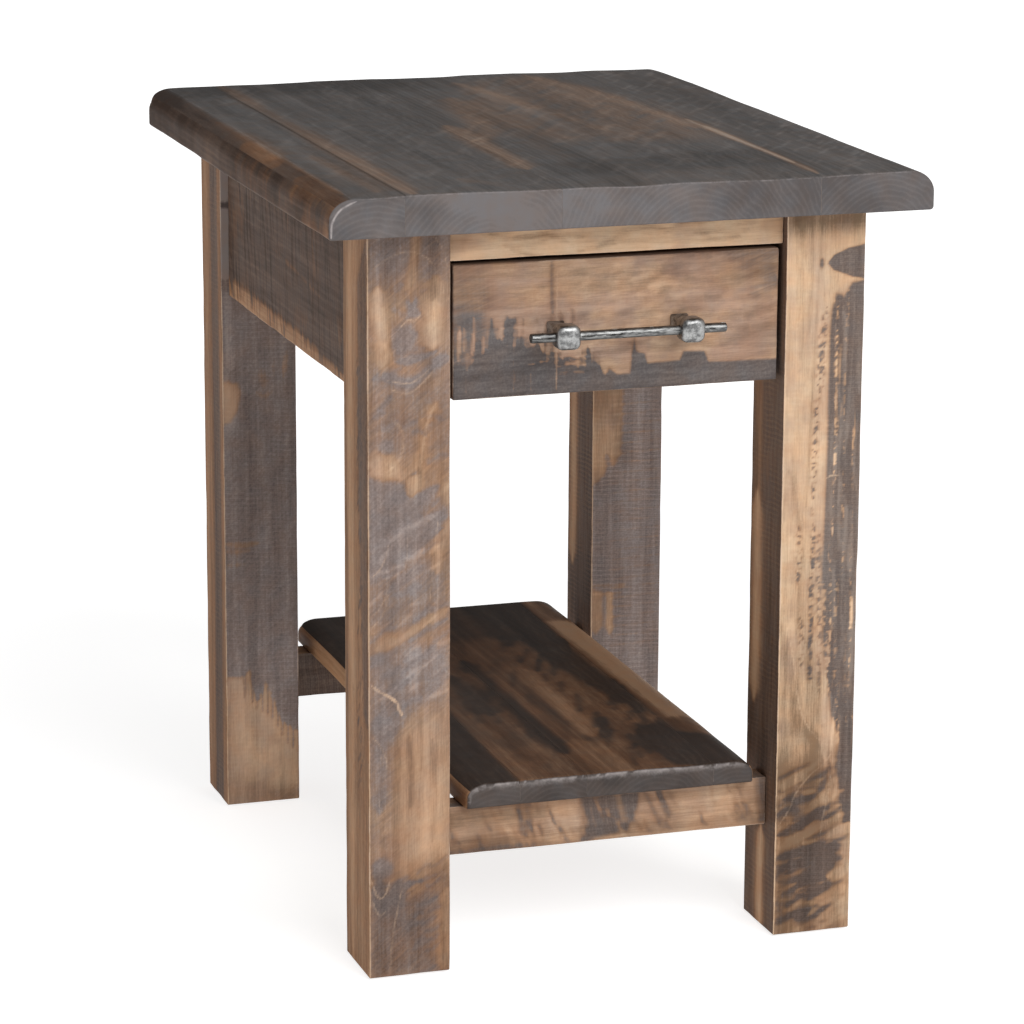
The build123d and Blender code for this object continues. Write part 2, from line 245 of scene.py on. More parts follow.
def write_field(piece, name, values):
    """Stores one number per vertex for the materials to read."""
    field = piece.data.attributes.new(name, "FLOAT", "POINT")
    field.data.foreach_set("value", np.asarray(values, np.float32))


# ---------------------------------------------------------------- painting on boards

# Each face: its axis, the side it faces, the axis across it, and that axis's sign as seen from outside.
FACES = {
    "front": (1, -1, 0, 1),
    "back": (1, 1, 0, -1),
    "left": (0, -1, 1, -1),
    "right": (0, 1, 1, 1),
    "top": (2, 1, 0, 1),
    "under": (2, -1, 0, 1),
}


def face_coordinates(places, face, low, high):
    """Distance from a face's left edge, as seen from outside, and the height above the floor.
    On the top and the underside the second number is the distance from the front edge."""
    axis, _, along, sign = FACES[face]
    across = places[:, along] - low[along] if sign > 0 else high[along] - places[:, along]
    up = places[:, 1] - low[1] if axis == 2 else places[:, 2]
    return across, up


def smoothed(points, steps=6):
    """A smooth curve through a few points."""
    p = np.array([points[0], *points, points[-1]], float)
    made = []
    for a, b, c, d in zip(p, p[1:], p[2:], p[3:]):
        for t in np.arange(steps) / steps:
            bend = (2 * a - 5 * b + 4 * c - d) * t * t
            made.append(0.5 * (2 * b + (c - a) * t + bend + (3 * b - a - 3 * c + d) * t ** 3))
    return np.array([*made, p[-1]])


def distance_to(across, up, path):
    """Distance from each point to a path, and how far along the path it is nearest, from 0 to 1."""
    best = np.full(len(across), 1e9)
    along = np.zeros(len(across))
    count = len(path) - 1
    for number, ((ax, ay), (bx, by)) in enumerate(zip(path, path[1:])):
        dx, dy = bx - ax, by - ay
        t = np.clip(((across - ax) * dx + (up - ay) * dy) / max(dx * dx + dy * dy, 1e-9), 0, 1)
        gap = np.hypot(across - ax - t * dx, up - ay - t * dy)
        nearer = gap < best
        best = np.where(nearer, gap, best)
        along = np.where(nearer, (number + t) / count, along)
    return best, along


def near(across, up, path, reach):
    """Which points are close enough to a path to feel it."""
    low, high = np.min(path, axis=0) - reach, np.max(path, axis=0) + reach
    return (across > low[0]) & (across < high[0]) & (up > low[1]) & (up < high[1])


class Brush:
    """Strokes that add to one of the fields that the materials read. Each is a pair of the field's name and
    a function that gives the amount to add at points of a face."""

    def __init__(self, field):
        self.field = field

    def line(self, amount, width, *points, broken=0.0):
        """A line through points, which thins out at its ends. A broken one is a row of dabs."""
        path = smoothed(points)

        def draw(across, up):
            drawn = np.zeros(len(across))
            close = near(across, up, path, 3 * width)
            a, b = across[close], up[close]
            gap, along = distance_to(a, b, path)
            narrowing = np.clip(np.minimum(along, 1 - along) * 6 + 0.35, 0, 1)
            value = amount * np.exp(-(gap / (width * narrowing)) ** 2)
            if broken:
                cells = np.column_stack([a / 2.6, b / 2.2, np.zeros(len(a))])
                dabs = layered_noise(cells, 1.0, int(points[0][1]), 2)
                value *= np.clip(1 + broken * (dabs * 2.2 - 0.4), 0, 1.5)
            drawn[close] = value
            return drawn
        return self.field, draw

    def area(self, amount, soft, *points):
        """An area inside a closed outline, with an edge that is soft millimetres wide."""
        path = [*points, points[0]]

        def draw(across, up):
            drawn = np.zeros(len(across))
            close = near(across, up, path, soft)
            a, b = across[close], up[close]
            gap, _ = distance_to(a, b, path)
            inside = np.zeros(len(a), bool)
            for (ax, ay), (bx, by) in zip(path, path[1:]):
                crosses = (ay > b) != (by > b)
                height = by - ay if by != ay else 1e-9
                inside ^= crosses & (a < (bx - ax) * (b - ay) / height + ax)
            signed = np.where(inside, gap, -gap)
            share = np.clip(signed / (2 * soft) + 0.5, 0, 1)
            drawn[close] = amount * share * share * (3 - 2 * share)
            return drawn
        return self.field, draw

    def oval(self, amount, at, size, tilt=0.0):
        """A soft oval, turned anticlockwise by tilt degrees."""
        def draw(across, up):
            turn = math.radians(tilt)
            da, du = across - at[0], up - at[1]
            a = (da * math.cos(turn) + du * math.sin(turn)) / size[0]
            b = (du * math.cos(turn) - da * math.sin(turn)) / size[1]
            return amount * np.exp(-(a * a + b * b) ** 2)
        return self.field, draw

    def level(self, amount):
        """The same amount all over a face."""
        return self.field, lambda across, up: np.full(len(across), float(amount))

    def clouds(self, amount, size, seed):
        """Uneven patches of a size given across and up the face."""
        def draw(across, up):
            points = np.column_stack([across / size[0], up / size[1], np.full(len(across), 0.5)])
            return amount * layered_noise(points, 1.0, seed, 3)
        return self.field, draw

    def scribbles(self, seed, count, low, high, size, amount, tilt, width):
        """Short random lines inside a box on a face."""
        rng = np.random.default_rng(seed)
        made = []
        for _ in range(count):
            x, y = rng.uniform(low, high)
            turn = math.radians(rng.uniform(*tilt))
            reach = rng.uniform(0.4, 1.0) * size / 2
            dx, dy = reach * math.cos(turn), reach * math.sin(turn)
            bend = rng.uniform(-0.15, 0.15) * size
            path = (x - dx, y - dy), (x + bend * 0.3, y + bend), (x + dx, y + dy)
            made.append(self.line(amount, width, *path))
        return made


# How dark a face is, how light or deep its tone is, how reddish it is, and its thin pale lines. Besides the
# wood's own colour they carry painted light: a painted warm bounce light on the side faces, painted
# highlights along rounded edges, and a painted shadow under the top on one leg.
stain = Brush("stain")
glow = Brush("glow")
warm_tone_and_bounce = Brush("warm_tone_and_bounce")
pale = Brush("line")
BRUSHES = (stain, glow, pale, warm_tone_and_bounce)


def edge_distance(places):
    """How far each point of a piece is from its nearest edge."""
    return np.sort(np.minimum(places - places.min(0), places.max(0) - places), axis=1)[:, 1]


def paint(piece, faces, frame_box=None, wear_and_highlight_width=2.2, seed=0):
    """Writes the fields that the materials read: what the brushes add up to on each face, and the pale
    edges: rubbing of the edges, and a painted highlight along them."""
    places, normals = points_of(piece)
    origin = frame_box or (places.min(0), places.max(0))
    fields = {brush.field: np.zeros(len(places)) for brush in BRUSHES}
    for face, strokes in faces.items():
        axis, sign, *_ = FACES[face]
        facing = normals[:, axis] * sign >= np.abs(normals).max(1) - 1e-6
        across, up = face_coordinates(places[facing], face, *origin)
        for field, draw in strokes:
            fields[field][facing] += draw(across, up)
    wear_and_highlight = np.clip(1 - edge_distance(places) / max(wear_and_highlight_width, 0.01), 0, 1)
    fields["wear_and_highlight"] = wear_and_highlight * np.clip(0.8 + 0.6 * layered_noise(places, 45, seed + 5, 2), 0, 1)
    for name, values in fields.items():
        write_field(piece, name, values)


def plain_faces(seed, size, darkness, contrast):
    """Patchy stain on all six faces, for what has no pattern of its own."""
    return {
        face: [
            stain.level(darkness),
            stain.clouds(contrast, size, seed + number),
            glow.clouds(0.4, size, seed + 9 + number),
        ]
        for number, face in enumerate(FACES)
    }


def plane_by_hand(piece, seed):
    """Gives a board the shallow hollows of hand planing and uneven, worn edges."""
    hollow_depth, hollow_size = 0.25, 60.0
    edge_depth, edge_band, edge_size = 0.7, 4.0, 38
    places, normals = points_of(piece)
    at_edge = np.clip(1 - edge_distance(places) / edge_band, 0, 1) ** 1.5
    hollow = layered_noise(places, hollow_size, seed, 2)
    worn = np.clip(layered_noise(places, edge_size, seed + 3, 3), 0, 1)
    offset = hollow_depth * (hollow - 1) * 0.5 - edge_depth * at_edge * worn
    move_points(piece, places + normals * offset[:, None])


# ---------------------------------------------------------------- shader graphs

class Field:
    """A shader socket that can be added, multiplied and so on."""

    def __init__(self, graph, socket):
        self.graph = graph
        self.socket = socket

    def __add__(self, other):
        return self.graph.math("ADD", self, other)

    def __radd__(self, other):
        return self.graph.math("ADD", other, self)

    def __sub__(self, other):
        return self.graph.math("SUBTRACT", self, other)

    def __mul__(self, other):
        return self.graph.math("MULTIPLY", self, other)

    def __truediv__(self, other):
        return self.graph.math("DIVIDE", self, other)


class Graph:
    """One material's nodes. Sizes given to it are in millimetres."""

    def __init__(self, name, seed=0):
        self.material = bpy.data.materials.new(name)
        self.material.use_nodes = True
        self.tree = self.material.node_tree
        self.tree.nodes.clear()
        output = self.node("OutputMaterial")
        self.shader = self.node("BsdfPrincipled")
        self.tree.links.new(self.shader.outputs[0], output.inputs["Surface"])
        coordinates = self.node("TexCoord")
        self.plain = self.scaled(Field(self, coordinates.outputs["Object"]), (1 / MM,) * 3)
        self.place = self.scaled(self.plain, (1, 1, 1), (37.0 * seed, 91.0 * seed, 53.0 * seed))
        self.normal = Field(self, coordinates.outputs["Normal"])

    def node(self, kind, inputs=None, **settings):
        """A new node with its own settings, and its inputs by name or number."""
        made = self.tree.nodes.new("ShaderNode" + kind)
        for name, value in settings.items():
            setattr(made, name, value)
        for key, value in (inputs or {}).items():
            self.put(made.inputs[key], value)
        return made

    def put(self, socket, value):
        """Links a field to an input, or sets it to a number or colour."""
        if isinstance(value, Field):
            self.tree.links.new(value.socket, socket)
        else:
            socket.default_value = value

    def math(self, operation, first, second=0.0):
        return Field(self, self.node("Math", {0: first, 1: second}, operation=operation).outputs[0])

    def scaled(self, vector, scale, offset=(0, 0, 0), turn=(0, 0, 0)):
        inputs = {"Vector": vector, "Scale": scale, "Location": offset, "Rotation": turn}
        return Field(self, self.node("Mapping", inputs).outputs[0])

    def parts(self, vector):
        return [Field(self, out) for out in self.node("SeparateXYZ", {0: vector}).outputs]

    def noise(self, vector, size, detail=3.0, roughness=0.55, distortion=0.0):
        """Noise from about 0 to 1, whose features are size wide."""
        inputs = {"Vector": vector, "Scale": 1 / size, "Detail": detail, "Roughness": roughness}
        return Field(self, self.node("TexNoise", {**inputs, "Distortion": distortion}).outputs["Fac"])

    def smooth(self, value, low, high, bottom=0.0, top=1.0):
        """Goes smoothly from bottom to top as value goes from low to high."""
        inputs = {"Value": value, "From Min": low, "From Max": high, "To Min": bottom, "To Max": top}
        return Field(self, self.node("MapRange", inputs, interpolation_type="SMOOTHSTEP").outputs[0])

    def mix(self, factor, first, second, mode="MIX"):
        """A colour between two colours."""
        first, second = (value if isinstance(value, Field) else (*value, 1.0) for value in (first, second))
        made = self.node("Mix", data_type="RGBA", blend_type=mode)
        for number, value in ((0, factor), (6, first), (7, second)):
            self.put(made.inputs[number], value)
        return Field(self, made.outputs[2])

    def ramp(self, value, stops):
        """A colour from (position, colour) stops."""
        made = self.node("ValToRGB", {0: value})
        elements = made.color_ramp.elements
        while len(elements) < len(stops):
            elements.new(1.0)
        for element, (position, colour) in zip(elements, stops):
            element.position = position
            element.color = (*colour, 1.0)
        return Field(self, made.outputs[0])

    def tones(self, value, colours):
        """A colour from deep through middling to light."""
        return self.ramp(value, list(zip((0.15, 0.5, 0.85), colours)))

    def attribute(self, name):
        return Field(self, self.node("Attribute", attribute_name=name).outputs["Fac"])

    def bump(self, height, depth, strength):
        """Sets the surface's bump from a height of 0 to 1 and its depth."""
        made = self.node("Bump", {"Height": height, "Distance": depth * MM, "Strength": strength})
        self.tree.links.new(made.outputs[0], self.shader.inputs["Normal"])

    def finish(self, colour, roughness, **fixed):
        """Sets the shader's colour, roughness and any fixed inputs, and returns the material."""
        self.put(self.shader.inputs["Base Color"], colour)
        self.put(self.shader.inputs["Roughness"], roughness)
        for name, value in fixed.items():
            self.shader.inputs[name.replace("_", " ")].default_value = value
        return self.material


# Tones of each wood, from deep to light.
HONEY = ((0.22, 0.145, 0.092), (0.51, 0.350, 0.228), (0.70, 0.500, 0.340))
TAN = ((0.17, 0.110, 0.076), (0.35, 0.232, 0.154), (0.57, 0.395, 0.268))
ROSE = ((0.15, 0.102, 0.082), (0.28, 0.190, 0.148), (0.42, 0.295, 0.225))
RUST = ((0.14, 0.072, 0.040), (0.32, 0.175, 0.096), (0.50, 0.300, 0.175))
GREY = ((0.066, 0.052, 0.047), (0.122, 0.098, 0.090), (0.205, 0.168, 0.148))
DUSK = ((0.105, 0.085, 0.081), (0.185, 0.151, 0.143), (0.300, 0.252, 0.236))
SLATE = ((0.048, 0.042, 0.042), (0.092, 0.081, 0.080), (0.155, 0.137, 0.132))
UMBER = ((0.055, 0.036, 0.028), (0.115, 0.078, 0.061), (0.190, 0.130, 0.098))


# The tint of thin stain, the softness of the stain's edges, and the drift from warm to cool over all wood.
MIDDLE_TINT = (0.55, 0.42, 0.34)
STAIN_EDGE = 0.42
COOL_DRIFT = ((0.32, (1.0, 0.93, 0.87)), (0.68, (0.96, 1.0, 1.02)))


def squeezed(graph, axis, share, turn=(0, 0, 0)):
    """The place on the wood, squeezed along one axis so that patterns run long that way."""
    scale = [1.0, 1.0, 1.0]
    scale[axis] = share
    place = graph.scaled(graph.place, (1, 1, 1), turn=turn) if any(turn) else graph.place
    return graph.scaled(place, scale)


def wood(name, grain, light=TAN, dark=GREY, seed=0, rosy=0.5, pith=(0, -60), spacing=7.0, ring=0.06,
         kerf=0.5, pitch=4.4, kerf_tilt=0.06, ragged=0.45, worn=(0.60, 0.46, 0.36), gloss=0.55, shine=0.02,
         figure=0.0, figure_turn=(0, 0, 0), end_tone=None, pale_and_highlight_tone=None):
    """Stained rough-sawn maple. The stain field says where the dark stain is. Noise and the saw's marks,
    one every pitch, make its edges ragged. pith is where the tree's centre lies across the grain."""
    graph = Graph(name, seed)
    u, v, w = cross_axes(grain)
    fibres = squeezed(graph, w, 0.05)
    broad = graph.noise(fibres, 16, 3) - 0.5
    streak = graph.noise(fibres, 3.2, 4, 0.6) - 0.5
    fibre = graph.noise(fibres, 0.8, 2) - 0.5
    cloud = graph.noise(graph.place, 34, 3) - 0.5
    speck = graph.noise(graph.place, 1.8, 3) - 0.5
    at = graph.parts(graph.plain)
    a = at[u] - pith[0] + cloud * 10
    b = at[v] - pith[1] + cloud * 14 + at[w] * 0.02
    phase = graph.math("FRACT", graph.math("SQRT", a * a + b * b) / spacing)
    rings = graph.smooth(graph.math("ABSOLUTE", phase - 0.5), 0.15, 0.5, -0.5, 0.5)
    lean = at[w] + (at[u] + at[v]) * kerf_tilt + cloud * 7 + streak * 1.5
    saw_phase = graph.math("FRACT", lean / pitch)
    saw = graph.smooth(graph.math("ABSOLUTE", saw_phase - 0.5), 0.0, 0.36, 0.5, -0.5)
    fine_saw = graph.math("SINE", lean * (2 * math.pi / (pitch * 0.37)))
    sawn = saw * graph.smooth(graph.noise(graph.place, 22, 2), 0.38, 0.62, 0.1, 1.0)
    light_field = graph.attribute("glow")
    waves = squeezed(graph, w, 0.14, figure_turn)
    curl = (graph.noise(waves, 3.0, 4, 0.6, 0.7) - 0.5) * figure
    curl = curl * graph.smooth(graph.attribute("stain"), 0.2, 0.5, 0.35, 1.0)
    tone = curl + 0.5 + broad * 0.8 + streak * 0.55 + fibre * 0.3 + speck * 0.22 + rings * ring
    tone = tone + light_field * 0.4
    golden = graph.tones(tone, light)
    pink = graph.tones(tone, ROSE)
    bare = graph.mix(graph.smooth(cloud + broad * 0.8, -0.15, 0.2) * rosy, golden, pink)
    dark_tone = curl + 0.5 + broad * 0.6 + streak * 0.6 + speck * 0.5 + fine_saw * (0.10 * kerf)
    dark_tone = dark_tone + sawn * (0.24 * kerf) + light_field * 0.35 + rings * ring
    deep = graph.tones(dark_tone, dark)
    # The warm field turns the wood reddish: real orange patches, and on the side faces a painted warm bounce
    # light.
    reddish_and_bounce = graph.attribute("warm_tone_and_bounce")
    bare = graph.mix(reddish_and_bounce, bare, graph.tones(tone, RUST))
    deep = graph.mix(reddish_and_bounce, deep, graph.tones(dark_tone, UMBER))
    edge = graph.attribute("stain") + streak * (1.1 * ragged) + sawn * (-0.24 * kerf)
    edge = edge - curl * 0.8 + speck * (0.5 * ragged) + cloud * (0.5 * ragged) + fibre * (0.3 * ragged)
    between = graph.mix(0.5, bare, MIDDLE_TINT, "MULTIPLY")
    thin = graph.smooth(edge, 0.5 - 1.6 * STAIN_EDGE, 0.5 + 0.3 * STAIN_EDGE)
    colour = graph.mix(thin, bare, between)
    thick = graph.smooth(edge, 0.5 - 0.5 * STAIN_EDGE, 0.5 + 1.2 * STAIN_EDGE)
    colour = graph.mix(thick * 0.96, colour, deep)
    if end_tone:
        is_end = graph.smooth(graph.math("ABSOLUTE", graph.parts(graph.normal)[w]), 0.35, 0.75)
        end_rings = 0.5 + rings * 0.18 + cloud * 1.0 + speck * 0.3 + broad * 0.5 + light_field * 0.5
        lower, upper = (tuple(part * shade for part in end_tone) for shade in (0.72, 1.22))
        colour = graph.mix(is_end, colour, graph.ramp(end_rings, [(0.1, lower), (0.9, upper)]))
    drift = graph.noise(graph.place, 15, 3)
    colour = graph.mix(0.9, colour, graph.ramp(drift, COOL_DRIFT), "MULTIPLY")
    broken = graph.noise(graph.place, 7, 2) - 0.5
    # Thin pale lines: pale streaks in the wood, and painted highlights along rounded edges.
    pale_and_highlight_line = graph.attribute("line") * (0.8 + broken * 1.4) + speck * 0.3 + streak * 0.2
    colour = graph.mix(graph.smooth(pale_and_highlight_line, 0.10, 1.1) * 0.7, colour, pale_and_highlight_tone or light[2])
    # Pale edges: rubbed wood, and a painted highlight where a rounded edge would catch the light. worn is
    # their colour.
    rubbed_and_lit = graph.smooth(graph.attribute("wear_and_highlight") + streak * 0.4 + speck * 0.3, 0.45, 0.95)
    colour = graph.mix(rubbed_and_lit * 0.7, colour, worn)
    graph.bump(0.5 + fibre * 0.3 + streak * 0.5 + sawn * (0.30 * kerf) + speck * 0.2, 0.30, 0.5)
    return graph.finish(colour, gloss + speck * 0.25 + streak * 0.15, Specular_IOR_Level=shine)


FINE_GRAIN = 1.2


def plain_material(name, deep, pale, size, roughness, metallic=0.0, stretch=(1, 1, 1), relief=0.05):
    """A metal or plastic whose tone drifts between two colours over a size, with a fine grain over it."""
    graph = Graph(name)
    stretched = graph.scaled(graph.place, stretch)
    drift = graph.noise(stretched, size, 4, 0.6)
    grain = graph.noise(stretched, FINE_GRAIN, 2)
    tone = graph.smooth(drift + (grain - 0.5) * 0.35, 0.32, 0.68)
    graph.bump(grain * 0.5 + drift * 0.5, relief, 0.6)
    rough = roughness + (drift - 0.5) * 0.25 + (grain - 0.5) * 0.1
    return graph.finish(graph.mix(tone, deep, pale), rough, Metallic=metallic)


def clear_wood(name, grain, deep, pale, seed, gloss=0.42, layers=None):
    """Plain or lacquered wood. layers is the thickness of plywood's plies, which show on its edges."""
    graph = Graph(name, seed)
    fibres = squeezed(graph, AXES.index(grain), 0.05)
    broad = graph.noise(fibres, 14, 3)
    streak = graph.noise(fibres, 2.4, 4, 0.6)
    pores = graph.noise(fibres, 0.5, 2)
    tone = broad * 0.5 + streak * 0.35 + pores * 0.15
    colour = graph.mix(graph.smooth(tone, 0.3, 0.7), deep, pale)
    if layers:
        height = graph.parts(graph.plain)[2]
        ply = graph.smooth(graph.math("FRACT", height / (2 * layers)), 0.42, 0.58)
        upright = graph.smooth(graph.math("ABSOLUTE", graph.parts(graph.normal)[2]), 0.3, 0.6, 0.55, 0.0)
        colour = graph.mix(ply * upright, colour, deep)
    graph.bump(streak * 0.5 + pores * 0.5, 0.12, 0.5)
    return graph.finish(colour, gloss + (pores - 0.5) * 0.2)


def dress(piece, body, slot, material, *nodes):
    """Gives a piece its material and its body, and hides the CAD nodes that it stands for. slot is not used.
    """
    piece.data.materials.clear()
    piece.data.materials.append(material)
    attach(piece, body)
    if nodes:
        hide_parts(*nodes)
    return piece


# ---------------------------------------------------------------- camera, floor and light

def direction(azimuth, elevation):
    """A unit vector from the table, in degrees: azimuth 0 is the front, and 90 is the right."""
    a, e = math.radians(azimuth), math.radians(elevation)
    return Vector((math.sin(a) * math.cos(e), -math.cos(a) * math.cos(e), math.sin(e)))


def look(azimuth, elevation, roll, target, distance, lens):
    """The camera, given by the direction it stands in, its roll in degrees, and what it looks at."""
    back = direction(azimuth, elevation)
    right = (-back).cross(Vector((0, 0, 1))).normalized()
    up = right.cross(-back)
    r = math.radians(roll)
    turned_right = right * math.cos(r) + up * math.sin(r)
    turned_up = up * math.cos(r) - right * math.sin(r)
    camera = bpy.data.objects.new("camera", bpy.data.cameras.new("camera"))
    camera.data.lens = lens
    camera.data.sensor_width = 36.0
    camera.data.clip_end = 100.0
    bpy.context.scene.collection.objects.link(camera)
    turned = Matrix((turned_right, turned_up, back)).transposed().to_4x4()
    camera.matrix_world = Matrix.Translation(Vector(target) * MM + back * distance * MM) @ turned
    bpy.context.scene.camera = camera


def soft_light(name, azimuth, elevation, distance, size, power):
    """A square white area light that faces the middle of the table. Distances are in metres."""
    back = direction(azimuth, elevation)
    lamp = bpy.data.lights.new(name, "AREA")
    lamp.size = size
    lamp.energy = power
    made = bpy.data.objects.new(name, lamp)
    bpy.context.scene.collection.objects.link(made)
    made.location = Vector((0, 0, 0.35)) + back * distance
    made.rotation_mode = "QUATERNION"
    made.rotation_quaternion = (-back).to_track_quat("-Z", "Y")


def make_stage():
    """A large pale floor in a pale room. The floor glows a little less close to the table."""
    half = 40.0
    near_table, far_off = 350, 2600
    mesh = bpy.data.meshes.new("floor")
    corners = [(-half, -half, 0), (half, -half, 0), (half, half, 0), (-half, half, 0)]
    mesh.from_pydata(corners, [], [(0, 1, 2, 3)])
    floor = bpy.data.objects.new("floor", mesh)
    bpy.context.scene.collection.objects.link(floor)
    graph = Graph("floor_paper")
    graph.shader.inputs["Emission Color"].default_value = (1, 1, 1, 1)
    at = graph.parts(graph.plain)
    reach = graph.math("SQRT", at[0] * at[0] + at[1] * at[1])
    graph.put(graph.shader.inputs["Emission Strength"], graph.smooth(reach, near_table, far_off, 0.76, 1.0))
    tint = graph.mix(graph.noise(graph.place, 400, 2), (0.60, 0.60, 0.60), (0.62, 0.62, 0.62))
    mesh.materials.append(graph.finish(tint, 0.9))
    world = bpy.data.worlds.new("pale_room")
    world.use_nodes = True
    background = world.node_tree.nodes["Background"]
    background.inputs["Color"].default_value = (1, 1, 1, 1)
    background.inputs["Strength"].default_value = 0.30
    bpy.context.scene.world = world


look(azimuth=-17.97, elevation=14.04, roll=0.26, target=(-2.02, 0, 304.75), distance=3470.7, lens=144.0)
make_stage()
soft_light("key", azimuth=16, elevation=36, distance=4.2, size=2.6, power=132)
bpy.context.scene.view_settings.view_transform = "Standard"
bpy.context.scene.view_settings.look = "None"

# ---------------------------------------------------------------- legs


# A face is painted in millimetres: across it from its left edge, and above the floor. The top and the
# underside are painted from their left and their front edge.
# A thin pale line down the left front arris of a leg: a painted highlight where the rounded edge catches the
# light.
ARRIS_HIGHLIGHT = pale.line(1.6, 0.9, (0.5, -40), (0.5, 300), (0.5, 640))

